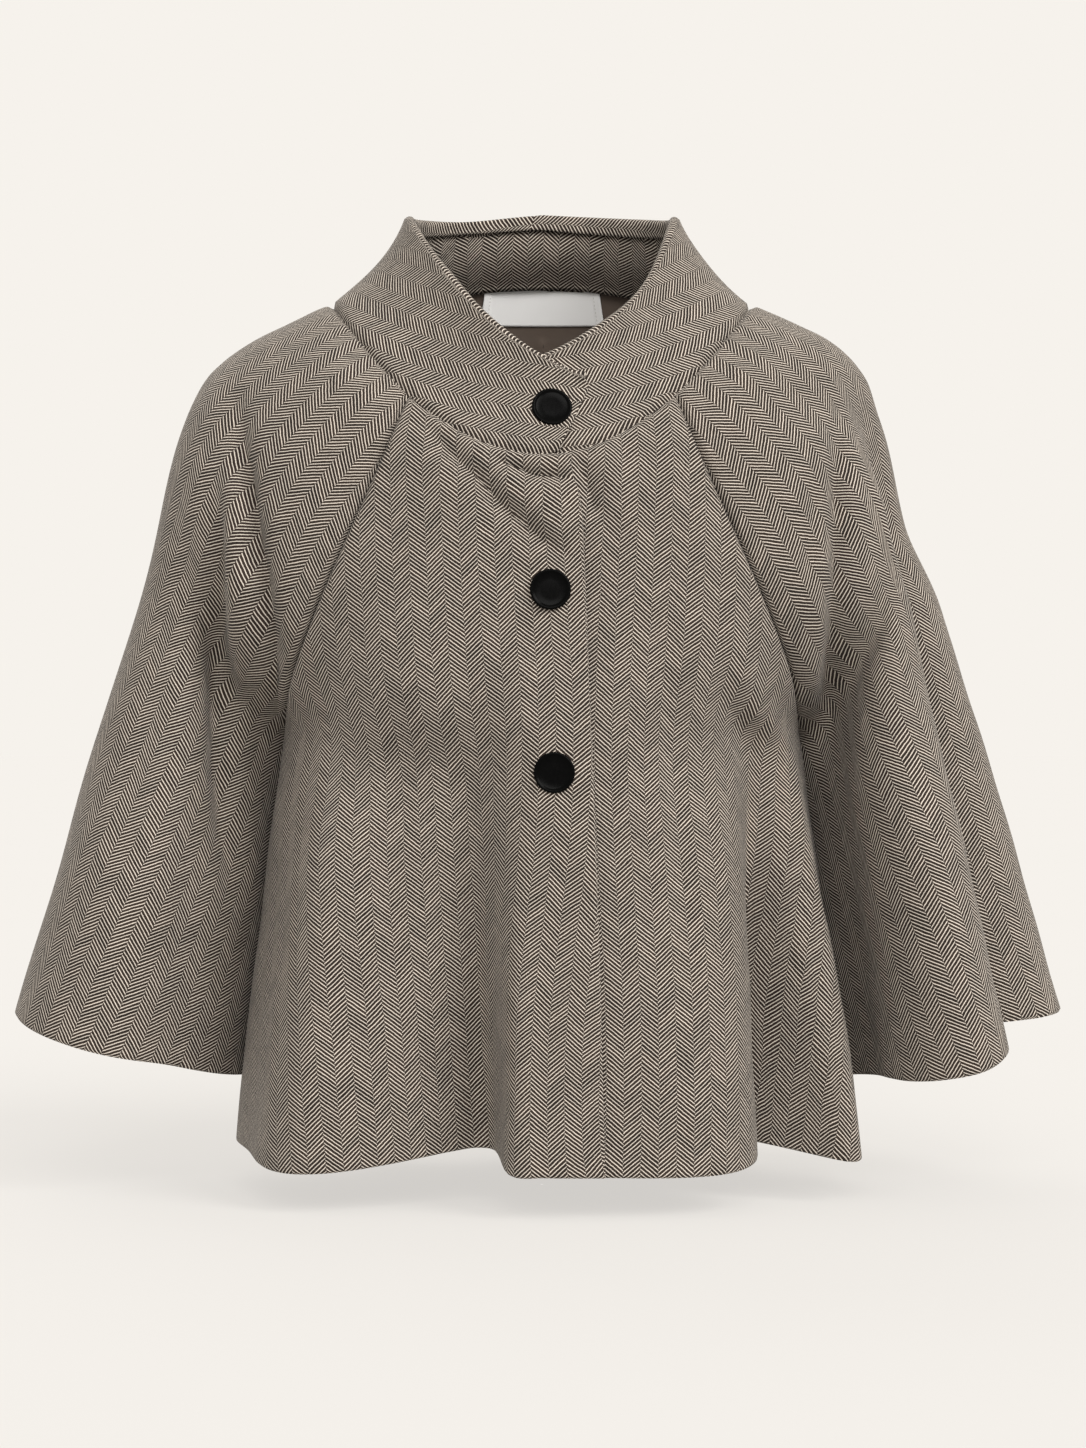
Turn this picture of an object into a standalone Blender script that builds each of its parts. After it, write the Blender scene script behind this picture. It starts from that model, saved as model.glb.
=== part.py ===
"""A short cape jacket in herringbone wool: a funnel collar, raglan bell sleeves and a lapped three-button front.

It stands filled out, as if worn, with nothing inside. Metres, +Z up, front towards -Y.
The origin is the middle of the neck at shoulder height, where the wearer's shoulders carry the cape.
Side +1 is +X, the wearer's left, and side -1 is the wearer's right, whose front laps over the other.
"""

import math

import bmesh
import bpy
import numpy as np
from mathutils import Matrix, Vector

# Driving sizes
CLOTH = 0.002
LINING = 0.001
SEAM_GAP = 0.0003
TRIM = 0.0005
LAP_LIFT = 0.0040
UNDER_TUCK = 0.0040
UNDER_TUCK_ENDS = 0.15
FOLD_FADE = 0.05
HEM_SWAY = 0.28
NECK_SEAT = 0.0005
NECK_HOLD = 0.25
SEAM_PUFF = 0.0012
SEAM_PUFF_REACH = 0.012
WEARER_LEFT = 1
WEARER_RIGHT = -1

# Neck seam: a tilted oval, low at the front and high at the nape
NECK_HALF_WIDTH = 0.145
NECK_FRONT = 0.118
NECK_BACK = 0.095
NECK_SIDE_Z = -0.001
NECK_FRONT_DROP = 0.110
NECK_BACK_RISE = 0.030
RAGLAN_FRONT = math.radians(38)
RAGLAN_BACK = math.radians(140)

# Collar top edge: a smaller oval that falls to a V at the front
TOP_HALF_WIDTH = 0.0925
TOP_FRONT = 0.096
TOP_BACK = 0.073
TOP_SIDE_Z = 0.065
TOP_FRONT_Z = -0.040
TOP_BACK_Z = 0.071
TOP_TAB_SLOPE = 0.55
TOP_STRAIGHT_RIGHT = 0.5
TOP_POWER_RIGHT = 2.6
TOP_STRAIGHT_LEFT = 0.4
TOP_POWER_LEFT = 4.4
COLLAR_HOLLOW = 0.007
COLLAR_LAP_BOTTOM = math.radians(4.5)
COLLAR_LAP_TOP = math.radians(20)
COLLAR_UNDER = math.radians(9)
COLLAR_LIFT_ENDS = math.radians(75)
FACING_ENDS = 11
FACING_SEAT = 0.006

# Where rows of the panels change from the raglan seam to the side and underarm seams
UNDERARM = 0.625

# Centre front and centre back, row by row from the neck seam (t 0) to the hem (t 1)
CENTRE_COLUMNS = ("t", "front_y", "front_z", "lap_x", "under_x", "back_y", "back_z")
CENTRE = (
    (0.00, -0.118, -0.112, 0.016, -0.016, 0.095, 0.029),
    (0.15, -0.125, -0.150, 0.026, -0.015, 0.124, -0.040),
    (0.30, -0.131, -0.205, 0.029, -0.014, 0.137, -0.120),
    (0.45, -0.136, -0.260, 0.031, -0.013, 0.142, -0.200),
    (0.625, -0.143, -0.335, 0.034, -0.012, 0.147, -0.300),
    (0.80, -0.152, -0.455, 0.038, -0.010, 0.154, -0.440),
    (1.00, -0.162, -0.584, 0.041, -0.008, 0.165, -0.580),
)

# Raglan seams from the neck to the underarm
RAGLAN_COLUMNS = ("t", "front_x", "front_y", "front_z", "back_x", "back_y", "back_z")
RAGLAN = (
    (0.00, 0.0893, -0.0930, -0.0693, 0.0932, 0.0728, 0.0166),
    (0.15, 0.1046, -0.1050, -0.1072, 0.1080, 0.0950, -0.0300),
    (0.30, 0.1313, -0.1040, -0.1672, 0.1320, 0.1060, -0.1000),
    (0.45, 0.1559, -0.0860, -0.2233, 0.1560, 0.0940, -0.1800),
    (0.55, 0.1720, -0.0500, -0.2666, 0.1720, 0.0640, -0.2440),
    (0.625, 0.1780, 0.0120, -0.3000, 0.1780, 0.0120, -0.3000),
)

# Below the underarm: the side seam that front and back share, and the sleeve's own seam
BELOW_COLUMNS = ("t", "side_x", "side_y", "side_z", "sleeve_x", "sleeve_y", "sleeve_z")
BELOW = (
    (0.625, 0.1780, 0.0120, -0.3000, 0.1780, 0.0120, -0.3000),
    (0.72, 0.1860, -0.0040, -0.3700, 0.1846, 0.0330, -0.3620),
    (0.86, 0.1980, -0.0050, -0.4740, 0.1946, 0.0340, -0.4500),
    (1.00, 0.2095, -0.0050, -0.5790, 0.2044, 0.0340, -0.5360),
)

# How far the body's rows run straight at the centre, and how they arrive at the seam
HANDLE_COLUMNS = ("t", "centre_run", "front_in", "front_back", "front_up", "back_in", "back_fore", "back_up")
HANDLE = (
    (0.00, 0.045, 0.027, 0.017, 0.025, 0.027, 0.015, 0.005),
    (0.30, 0.070, 0.042, 0.022, 0.018, 0.042, 0.022, 0.006),
    (0.55, 0.100, 0.040, 0.060, 0.014, 0.040, 0.060, 0.004),
    (0.625, 0.112, 0.004, 0.088, 0.004, 0.004, 0.088, 0.002),
    (1.00, 0.135, 0.000, 0.100, 0.000, 0.000, 0.100, 0.000),
)

# Sleeve: its outer ridge, and how its rows leave the seam and reach the ridge
SLEEVE_COLUMNS = (
    "t", "ridge_x", "ridge_y", "ridge_z", "ridge_fore", "ridge_aft",
    "front_out", "front_fore", "front_up", "back_out", "back_aft", "back_up",
)
SLEEVE = (
    (0.00, 0.1450, 0.000, -0.001, 0.036, 0.030, 0.035, -0.022, 0.033, 0.033, -0.018, -0.009),
    (0.15, 0.1700, 0.002, -0.012, 0.050, 0.046, 0.036, -0.004, 0.042, 0.036, -0.005, 0.012),
    (0.30, 0.2050, 0.004, -0.029, 0.060, 0.056, 0.036, 0.010, 0.048, 0.036, 0.006, 0.034),
    (0.45, 0.2340, 0.006, -0.053, 0.068, 0.066, 0.042, 0.026, 0.046, 0.042, 0.020, 0.044),
    (0.55, 0.2480, 0.008, -0.086, 0.074, 0.074, 0.050, 0.044, 0.042, 0.050, 0.038, 0.042),
    (0.625, 0.2560, 0.010, -0.116, 0.080, 0.080, 0.056, 0.074, 0.026, 0.056, 0.070, 0.026),
    (0.72, 0.2745, 0.012, -0.192, 0.086, 0.088, 0.034, 0.128, 0.026, 0.010, 0.096, 0.026),
    (0.86, 0.3110, 0.014, -0.315, 0.094, 0.098, 0.026, 0.156, 0.014, -0.014, 0.120, 0.014),
    (1.00, 0.3625, 0.016, -0.492, 0.102, 0.108, 0.020, 0.172, 0.000, -0.030, 0.136, 0.000),
)

# Folds: where each runs across its panel at the top and hem, where it starts, its depth at the hem (out is
# positive) and how wide it is on the side of lower u and of higher u
FOLD_COLUMNS = ("panel", "u_top", "u_hem", "starts", "depth", "before", "after")
FOLDS = (
    ("front_right", 0.26, 0.215, 0.40, -0.056, 0.036, 0.18),
    ("front_right", 0.60, 0.560, 0.45, 0.026, 0.15, 0.15),
    ("front_left", 0.74, 0.620, 0.40, -0.052, 0.13, 0.050),
    ("front_left", 0.78, 0.715, 0.45, 0.024, 0.05, 0.07),
    ("front_left", 0.40, 0.320, 0.45, 0.010, 0.20, 0.14),
    ("back", -0.66, -0.620, 0.36, -0.030, 0.12, 0.16),
    ("back", -0.22, -0.200, 0.30, -0.036, 0.13, 0.13),
    ("back", 0.26, 0.240, 0.34, -0.032, 0.14, 0.12),
    ("back", 0.68, 0.640, 0.40, -0.030, 0.14, 0.12),
    ("sleeve_right", 0.19, 0.150, 0.40, -0.014, 0.08, 0.09),
    ("sleeve_right", 0.40, 0.340, 0.66, 0.008, 0.14, 0.12),
    ("sleeve_right", 0.66, 0.640, 0.50, -0.022, 0.08, 0.09),
    ("sleeve_right", 0.84, 0.820, 0.55, -0.020, 0.08, 0.08),
    ("sleeve_left", 0.12, 0.100, 0.40, -0.010, 0.06, 0.08),
    ("sleeve_left", 0.30, 0.240, 0.25, 0.034, 0.11, 0.055),
    ("sleeve_left", 0.40, 0.345, 0.25, -0.040, 0.040, 0.080),
    ("sleeve_left", 0.70, 0.660, 0.50, -0.022, 0.08, 0.09),
    ("sleeve_left", 0.86, 0.830, 0.55, -0.018, 0.08, 0.08),
)

# A place inside the body, inside the collar and inside each sleeve, from which the panels face out
AXIS = np.array((0.0, 0.0, -0.3))
NAPE = np.array((0.0, 0.0, 0.0))
SLEEVE_CORES = {
    WEARER_LEFT: np.array((0.20, 0.012, -0.30)),
    WEARER_RIGHT: np.array((-0.20, 0.012, -0.30)),
}

# Grid of each panel: rows down it, the same for all so that seams share their points, and columns across it
PANEL_ROWS = 17
FRONT_GRID = (PANEL_ROWS, 21)
BACK_GRID = (PANEL_ROWS, 25)
SLEEVE_GRID = (PANEL_ROWS, 29)
COLLAR_GRID = (6, 57)
SEAT_GRID = (161, 321)
LINING_ROWS = 9
LINING_ENDS = 2
LINING_SEAT = 0.006

# Label and buttons
LABEL_REACH = 5
LABEL_TOP = 0.05
LABEL_BOTTOM = 0.20
LABEL_THICK = 0.0008
BUTTON_RADIUS = 0.0135
BUTTON_HEIGHT = 0.0042
BUTTON_RIM = 0.0016
BUTTON_DISH = 0.0007
SHANK_RADIUS = 0.0030
SHANK_LENGTH = 0.0010
BUTTON_SEAT = 0.0005
BUTTON_STEPS = 24
BUTTON_MERGE = 0.00001
# Each button: the piece it is sewn to, and where it sits seen from the front
BUTTONS = (
    ("button_top", "collar", 0.0062, -0.0804),
    ("button_middle", "front_right", 0.0058, -0.2015),
    ("button_bottom", "front_right", 0.0084, -0.3205),
)

# Materials: colour, roughness, metallic
FINISHES = {
    "wool": ((0.26, 0.215, 0.175), 0.95, 0.0),
    "satin": ((0.16, 0.115, 0.085), 0.45, 0.0),
    "label_white": ((0.80, 0.79, 0.77), 0.55, 0.0),
    "button_black": ((0.010, 0.010, 0.011), 0.22, 0.0),
}


def gentle_slopes(stations, values):
    """Slopes at a table's rows that keep a cubic through them from overshooting."""
    steps = np.diff(values) / np.diff(stations)
    before, after = steps[:-1], steps[1:]
    same_way = before * after > 0
    total = np.where(same_way, before + after, 1.0)
    inner = np.where(same_way, 2 * before * after / total, 0.0)
    return np.concatenate([steps[:1], inner, steps[-1:]])


def smooth(columns, rows, name, t):
    """A column of a table at t, on a cubic through its rows."""
    stations = np.array([row[0] for row in rows])
    values = np.array([row[columns.index(name)] for row in rows])
    slopes = gentle_slopes(stations, values)
    at = np.clip(np.searchsorted(stations, t, side="right") - 1, 0, len(stations) - 2)
    span = stations[at + 1] - stations[at]
    s = (t - stations[at]) / span
    rise = s * s * (3 - 2 * s)
    leave = s * (1 - s) ** 2 * span
    arrive = s * s * (s - 1) * span
    return values[at] * (1 - rise) + values[at + 1] * rise + leave * slopes[at] + arrive * slopes[at + 1]


def point(x, y, z):
    return np.stack(np.broadcast_arrays(x, y, z), axis=-1).astype(float)


def ease(s):
    s = np.clip(s, 0, 1)
    return s * s * (3 - 2 * s)


def unit(vectors):
    return vectors / np.linalg.norm(vectors, axis=-1, keepdims=True)


def bezier(start, leave, arrive, end, u):
    u = u[..., None]
    return start * (1 - u) ** 3 + leave * 3 * u * (1 - u) ** 2 + arrive * 3 * u * u * (1 - u) + end * u**3


def lap_lift(angle):
    """How far the lapping side stands proud, from the centre front to where it dies out round the side."""
    return LAP_LIFT * ease((angle + COLLAR_LIFT_ENDS) / COLLAR_LIFT_ENDS)


def neck_seam(angle, lift=0.0):
    """The neck seam at an angle from the centre front, towards +X."""
    cosine = np.cos(angle)
    depth = np.where(cosine > 0, NECK_FRONT + lift, NECK_BACK)
    rise = np.where(cosine > 0, -NECK_FRONT_DROP, NECK_BACK_RISE)
    return point(NECK_HALF_WIDTH * np.sin(angle), -depth * cosine, NECK_SIDE_Z + rise * cosine**2)


def top_rise(angle):
    """How much of its height the upper edge has gained beside the V, whose edges bow outwards."""
    across = np.abs(np.sin(angle))
    on_right = np.sin(angle) < 0
    straight = np.where(on_right, TOP_STRAIGHT_RIGHT, TOP_STRAIGHT_LEFT)
    power = np.where(on_right, TOP_POWER_RIGHT, TOP_POWER_LEFT)
    bowed = straight * across + (1 - straight) * across**power
    past_centre = (angle > 0) | (angle < -2 * math.pi)
    return np.where(past_centre, -TOP_TAB_SLOPE * across, bowed)


def collar_top(angle, lift=0.0):
    """The collar's upper edge, down from the shoulder to the V, then flatter along the lapped end."""
    cosine = np.cos(angle)
    front_z = TOP_FRONT_Z + (TOP_SIDE_Z - TOP_FRONT_Z) * top_rise(angle)
    back_z = TOP_BACK_Z + (TOP_SIDE_Z - TOP_BACK_Z) * np.abs(np.sin(angle))
    depth = np.where(cosine > 0, TOP_FRONT + lift, TOP_BACK)
    return point(TOP_HALF_WIDTH * np.sin(angle), -depth * cosine, np.where(cosine > 0, front_z, back_z))


def collar_surface(angle, v):
    """The collar's outer face: v runs up from the neck seam, and the angle runs back from the lapped end."""
    lift = lap_lift(angle)
    bottom = neck_seam(angle, lift)
    top = collar_top(angle, lift)
    hollow = COLLAR_HOLLOW * 4 * v * (1 - v)
    inward = point(-np.sin(angle), np.cos(angle), 0 * angle)
    return bottom + (top - bottom) * v[..., None] + inward * hollow[..., None]


def centre(name, t):
    return smooth(CENTRE_COLUMNS, CENTRE, name, t)


def seam(face, below, t, side):
    """The raglan seam of the front or back down to the underarm, then a seam below it."""
    x, y, z = (smooth(RAGLAN_COLUMNS, RAGLAN, f"{face}_{axis}", np.minimum(t, UNDERARM)) for axis in "xyz")
    low_x, low_y, low_z = (smooth(BELOW_COLUMNS, BELOW, f"{below}_{axis}", t) for axis in "xyz")
    return np.where((t > UNDERARM)[..., None], point(side * low_x, low_y, low_z), point(side * x, y, z))


def handle(name, t):
    return smooth(HANDLE_COLUMNS, HANDLE, name, t)


def front_surface(u, t, side):
    """A front's outer face: u runs from its front edge to the raglan and side seam."""
    lapping = side == WEARER_RIGHT
    edge_x = centre("lap_x" if lapping else "under_x", t)
    lift = LAP_LIFT if lapping else 0.0
    tuck = 0.0 if lapping else UNDER_TUCK * ease(t / UNDER_TUCK_ENDS)
    start = point(edge_x, centre("front_y", t) - lift + tuck, centre("front_z", t))
    leave = start + point(side * handle("centre_run", t), 0, 0)
    end = seam("front", "side", t, side)
    into = point(side * handle("front_in", t), handle("front_back", t), handle("front_up", t))
    rows = bezier(start, leave, end - into, end, u)
    edge_angle = np.arcsin(centre("lap_x" if lapping else "under_x", np.zeros(1))[0] / NECK_HALF_WIDTH)
    angle = edge_angle + (side * RAGLAN_FRONT - edge_angle) * u
    return snapped(rows, neck_seam(angle, lap_lift(angle) if lapping else 0.0), t)


def back_surface(u, t):
    """The back's outer face: u runs from the right seam at -1 to the left seam at 1."""
    side = np.where(u < 0, -1.0, 1.0)
    start = point(0, centre("back_y", t), centre("back_z", t))
    leave = start + point(side * handle("centre_run", t), 0, 0)
    end = seam("back", "side", t, side)
    into = point(side * handle("back_in", t), -handle("back_fore", t), handle("back_up", t))
    rows = bezier(start, leave, end - into, end, np.abs(u))
    angle = side * (math.pi + (RAGLAN_BACK - math.pi) * np.abs(u))
    return snapped(rows, neck_seam(angle), t)


def sleeve_value(name, t):
    return smooth(SLEEVE_COLUMNS, SLEEVE, name, t)


def sleeve_surface(u, t, side):
    """A sleeve's outer face: u runs from the front raglan seam, over the ridge at 0.5, to the back seam."""
    ridge = point(side * sleeve_value("ridge_x", t), sleeve_value("ridge_y", t), sleeve_value("ridge_z", t))
    front = seam("front", "sleeve", t, side)
    back = seam("back", "sleeve", t, side)
    front_leave = front + point(
        side * sleeve_value("front_out", t), -sleeve_value("front_fore", t), sleeve_value("front_up", t)
    )
    back_leave = back + point(
        side * sleeve_value("back_out", t), sleeve_value("back_aft", t), sleeve_value("back_up", t)
    )
    fore = ridge - point(0, sleeve_value("ridge_fore", t), 0)
    aft = ridge + point(0, sleeve_value("ridge_aft", t), 0)
    front_half = bezier(front, front_leave, fore, ridge, np.clip(2 * u, 0, 1))
    back_half = bezier(ridge, aft, back_leave, back, np.clip(2 * u - 1, 0, 1))
    rows = np.where((u < 0.5)[..., None], front_half, back_half)
    front_angle = RAGLAN_FRONT + (math.pi / 2 - RAGLAN_FRONT) * 2 * u
    back_angle = math.pi / 2 + (RAGLAN_BACK - math.pi / 2) * (2 * u - 1)
    angle = side * np.where(u < 0.5, front_angle, back_angle)
    return snapped(rows, neck_seam(angle), t)


def snapped(rows, neck, t):
    """Rows moved so that the first lies on the neck seam, which dies out down the panel."""
    hold = 1 - ease(t / NECK_HOLD)
    return rows + (neck - rows[:1]) * hold[..., None]


def outward(points, side_of):
    """Unit normals of a grid, turned to the side of the cloth that shows."""
    normals = unit(np.cross(np.gradient(points, axis=1), np.gradient(points, axis=0)))
    middle = tuple(n // 2 for n in points.shape[:2])
    facing = np.sign(np.dot(normals[middle], points[middle] - side_of))
    return normals * facing


def fold_depth(panel, u, t):
    """The depth of all of a panel's folds, out of its face."""
    total = np.zeros_like(u)
    for row in FOLDS:
        fold = dict(zip(FOLD_COLUMNS, row))
        if fold["panel"] != panel:
            continue
        grown = ease((t - fold["starts"]) / (1 - fold["starts"]))
        away = u - (fold["u_top"] + (fold["u_hem"] - fold["u_top"]) * t)
        width = np.where(away < 0, fold["before"], fold["after"])
        total += fold["depth"] * grown * np.exp(-((away / width) ** 2))
    return total


def edge_distance(points):
    """How far each point of a grid lies from the nearer end of its row, along the row."""
    steps = np.linalg.norm(np.diff(points, axis=1), axis=-1)
    along = np.concatenate([np.zeros((len(points), 1)), np.cumsum(steps, axis=1)], axis=1)
    return np.minimum(along, along[:, -1:] - along)


def dressed(panel, points, u, t, side_of):
    """A panel's rows with its folds, and with the cloth rising a little from its seams."""
    normals = outward(points, side_of)
    near = edge_distance(points)
    held = ease(near / FOLD_FADE)
    puff = SEAM_PUFF * (1 - np.exp(-near / SEAM_PUFF_REACH))
    folds = fold_depth(panel, u, t) * held
    return points + normals * (folds + puff)[..., None] - point(0, 0, HEM_SWAY * folds)


def trimmed(points, gap=TRIM):
    """A grid drawn in from its four sides, so that seams keep their gap."""
    points = points.copy()
    for axis in (0, 1):
        rows = np.moveaxis(points, axis, 0)
        first = unit(rows[1] - rows[0]) * gap / 2
        last = unit(rows[-2] - rows[-1]) * gap / 2
        rows[0] += first
        rows[-1] += last
    return points


def grid(rows, columns, u_range=(0.0, 1.0), t_range=(0.0, 1.0)):
    t, u = np.meshgrid(np.linspace(*t_range, rows), np.linspace(*u_range, columns), indexing="ij")
    return u, t


def front_points(side, shape=FRONT_GRID):
    u, t = grid(*shape)
    name = "front_right" if side == WEARER_RIGHT else "front_left"
    return dressed(name, front_surface(u, t, side), u, t, AXIS)


def back_points(shape=BACK_GRID):
    u, t = grid(*shape, u_range=(-1.0, 1.0))
    return dressed("back", back_surface(u, t), u, t, AXIS)


def sleeve_points(side, shape=SLEEVE_GRID):
    u, t = grid(*shape)
    name = "sleeve_right" if side == WEARER_RIGHT else "sleeve_left"
    return dressed(name, sleeve_surface(u, t, side), u, t, SLEEVE_CORES[side])


def collar_points(shape=COLLAR_GRID):
    share, v = grid(*shape)
    start = COLLAR_LAP_BOTTOM + (COLLAR_LAP_TOP - COLLAR_LAP_BOTTOM) * v
    angle = start + (-2 * math.pi - COLLAR_UNDER - start) * share
    return collar_surface(angle, v)


def facing_points(collar):
    """The inner collar: the collar's own points, moved in, short of its top edge and of its front ends."""
    inner = moved_in(collar, NAPE, CLOTH + SEAM_GAP)
    return trimmed(inner[:-1, FACING_ENDS:-FACING_ENDS], FACING_SEAT)


def material(name):
    colour, roughness, metallic = FINISHES[name]
    made = bpy.data.materials.get(name)
    if made is None:
        made = bpy.data.materials.new(name)
        made.use_nodes = True
        shader = made.node_tree.nodes["Principled BSDF"]
        shader.inputs["Base Color"].default_value = (*colour, 1.0)
        shader.inputs["Roughness"].default_value = roughness
        shader.inputs["Metallic"].default_value = metallic
        made.diffuse_color = (*colour, 1.0)
    return made


def add_object(name, mesh, finish, collection):
    made = bpy.data.objects.new(name, mesh)
    mesh.materials.append(material(finish))
    collection.objects.link(made)
    return made


def cloth_panel(name, points, side_of, thickness, finish, collection):
    """A panel of cloth: the grid of its outer face, thickened inwards."""
    rows, columns = points.shape[:2]
    corner = np.arange(rows * columns).reshape(rows, columns)
    quads = np.stack([corner[:-1, :-1], corner[1:, :-1], corner[1:, 1:], corner[:-1, 1:]], axis=-1).reshape(-1, 4)
    middle = tuple(n // 2 for n in points.shape[:2])
    normals = unit(np.cross(np.gradient(points, axis=0), np.gradient(points, axis=1)))
    if np.dot(normals[middle], points[middle] - side_of) < 0:
        quads = quads[:, ::-1]
    mesh = bpy.data.meshes.new(name)
    mesh.from_pydata(points.reshape(-1, 3).tolist(), [], quads.tolist())
    mesh.shade_smooth()
    made = add_object(name, mesh, finish, collection)
    wall = made.modifiers.new("wall", "SOLIDIFY")
    wall.thickness = thickness
    wall.offset = -1.0
    return made


def moved_in(points, side_of, distance):
    """A panel's points moved towards the inside, for what lies on it."""
    return points - outward(points, side_of) * distance


def lining_points(back):
    """The back lining: the back's own points, moved in, from below the inner collar to mid back."""
    inner = moved_in(back, AXIS, CLOTH + SEAM_GAP)
    return trimmed(inner[:LINING_ROWS, LINING_ENDS:-LINING_ENDS], LINING_SEAT)


def label_points(lining):
    """The label: the lining's own points round its middle, moved in, from its top edge to just past its second row."""
    middle = lining.shape[1] // 2
    first, second, third = lining[:3, middle - LABEL_REACH : middle + LABEL_REACH + 1]
    top = first + (second - first) * LABEL_TOP
    bottom = second + (third - second) * LABEL_BOTTOM
    return moved_in(np.stack([top, second, bottom]), AXIS, LINING + SEAM_GAP)


def add_button(name, where, normal, collection):
    """A shank button: a dished disc with a raised rim, turned from its profile."""
    rim_top = BUTTON_HEIGHT
    profile = (
        (0.0, rim_top - BUTTON_DISH),
        (BUTTON_RADIUS - 2 * BUTTON_RIM, rim_top - BUTTON_DISH),
        (BUTTON_RADIUS - BUTTON_RIM, rim_top),
        (BUTTON_RADIUS - BUTTON_RIM / 2, rim_top),
        (BUTTON_RADIUS, rim_top - BUTTON_RIM / 2),
        (BUTTON_RADIUS, BUTTON_RIM / 2),
        (BUTTON_RADIUS - BUTTON_RIM, 0.0),
        (SHANK_RADIUS, 0.0),
        (SHANK_RADIUS, -SHANK_LENGTH),
        (0.0, -SHANK_LENGTH),
    )
    mesh = bpy.data.meshes.new(name)
    shape = bmesh.new()
    corners = [shape.verts.new((r, 0.0, z)) for r, z in profile]
    for first, second in zip(corners, corners[1:]):
        shape.edges.new((first, second))
    shape.to_mesh(mesh)
    shape.free()
    made = add_object(name, mesh, "button_black", collection)
    turn = made.modifiers.new("turn", "SCREW")
    turn.steps = BUTTON_STEPS
    turn.render_steps = BUTTON_STEPS
    turn.use_merge_vertices = True
    turn.merge_threshold = BUTTON_MERGE
    turn.use_smooth_shade = True
    seat = where + normal * (SHANK_LENGTH + BUTTON_SEAT)
    made.matrix_world = Matrix.Translation(seat) @ normal.to_track_quat("Z", "Y").to_matrix().to_4x4()
    return made


def surface_at(points, side_of, x, z):
    """The nearest point of a front face to a place seen from the front, with its normal."""
    normals = outward(points, side_of)
    away = (points[..., 0] - x) ** 2 + (points[..., 2] - z) ** 2
    nearest = np.unravel_index(np.argmin(away), away.shape)
    return Vector(points[nearest]), Vector(normals[nearest])


def main():
    for old in list(bpy.data.objects):
        bpy.data.objects.remove(old)
    cape = bpy.data.collections.new("cape")
    bpy.context.scene.collection.children.link(cape)

    seats = {}
    for side, name in ((WEARER_RIGHT, "front_right"), (WEARER_LEFT, "front_left")):
        cloth_panel(name, trimmed(front_points(side)), AXIS, CLOTH, "wool", cape)
        seats[name] = (front_points(side, SEAT_GRID), AXIS)
    back = trimmed(back_points())
    cloth_panel("back", back, AXIS, CLOTH, "wool", cape)
    for side, name in ((WEARER_RIGHT, "sleeve_right"), (WEARER_LEFT, "sleeve_left")):
        cloth_panel(name, trimmed(sleeve_points(side)), SLEEVE_CORES[side], CLOTH, "wool", cape)

    collar = trimmed(collar_points(), 2 * NECK_SEAT)
    seats["collar"] = (collar_points(SEAT_GRID)[:, : SEAT_GRID[1] // 2], NAPE)
    cloth_panel("collar", collar, NAPE, CLOTH, "wool", cape)
    cloth_panel("collar_facing", facing_points(collar), NAPE, LINING, "wool", cape)
    lining = lining_points(back)
    cloth_panel("back_lining", lining, AXIS, LINING, "satin", cape)
    cloth_panel("label", label_points(lining), AXIS, LABEL_THICK, "label_white", cape)

    for name, on, x, z in BUTTONS:
        where, normal = surface_at(*seats[on], x, z)
        add_button(name, where, normal, cape)


main()
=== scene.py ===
"""The looks of the cape: wool panels with creases, satin, label, buttons and stitches, in a plain studio.

Metres, +Z up, front towards -Y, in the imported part's frame. Side +1 is the wearer's left.
"""

import math

import bmesh
import bpy
import numpy as np
from mathutils import Matrix, Vector


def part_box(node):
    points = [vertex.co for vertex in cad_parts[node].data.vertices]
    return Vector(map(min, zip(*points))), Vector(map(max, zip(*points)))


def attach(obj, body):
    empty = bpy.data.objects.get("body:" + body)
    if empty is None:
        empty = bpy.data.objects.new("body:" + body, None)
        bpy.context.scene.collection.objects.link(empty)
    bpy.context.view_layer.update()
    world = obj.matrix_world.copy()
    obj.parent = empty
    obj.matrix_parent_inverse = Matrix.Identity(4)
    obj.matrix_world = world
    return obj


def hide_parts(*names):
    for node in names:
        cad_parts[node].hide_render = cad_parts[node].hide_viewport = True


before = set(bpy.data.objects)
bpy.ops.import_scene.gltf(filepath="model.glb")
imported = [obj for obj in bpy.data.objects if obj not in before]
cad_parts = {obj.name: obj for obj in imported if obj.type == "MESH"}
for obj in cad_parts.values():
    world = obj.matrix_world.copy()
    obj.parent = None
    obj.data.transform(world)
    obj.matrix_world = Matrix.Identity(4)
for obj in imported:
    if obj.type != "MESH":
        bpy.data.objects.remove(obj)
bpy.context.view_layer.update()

# Sizes that the part's source also has
CLOTH = 0.002
LINING = 0.001
SEAM_GAP = 0.0003
LAP_LIFT = 0.0040
UNDER_TUCK = 0.0040
UNDER_TUCK_ENDS = 0.15
FOLD_FADE = 0.05
HEM_SWAY = 0.28
NECK_HOLD = 0.25
SEAM_PUFF = 0.0012
SEAM_PUFF_REACH = 0.012
WEARER_LEFT = 1
WEARER_RIGHT = -1
NECK_HALF_WIDTH = 0.145
NECK_FRONT = 0.118
NECK_BACK = 0.095
NECK_SIDE_Z = -0.001
NECK_FRONT_DROP = 0.110
NECK_BACK_RISE = 0.030
RAGLAN_FRONT = math.radians(38)
RAGLAN_BACK = math.radians(140)
TOP_HALF_WIDTH = 0.0925
TOP_FRONT = 0.096
TOP_BACK = 0.073
TOP_SIDE_Z = 0.065
TOP_FRONT_Z = -0.040
TOP_BACK_Z = 0.071
TOP_TAB_SLOPE = 0.55
TOP_STRAIGHT_RIGHT = 0.5
TOP_POWER_RIGHT = 2.6
TOP_STRAIGHT_LEFT = 0.4
TOP_POWER_LEFT = 4.4
COLLAR_HOLLOW = 0.007
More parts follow.
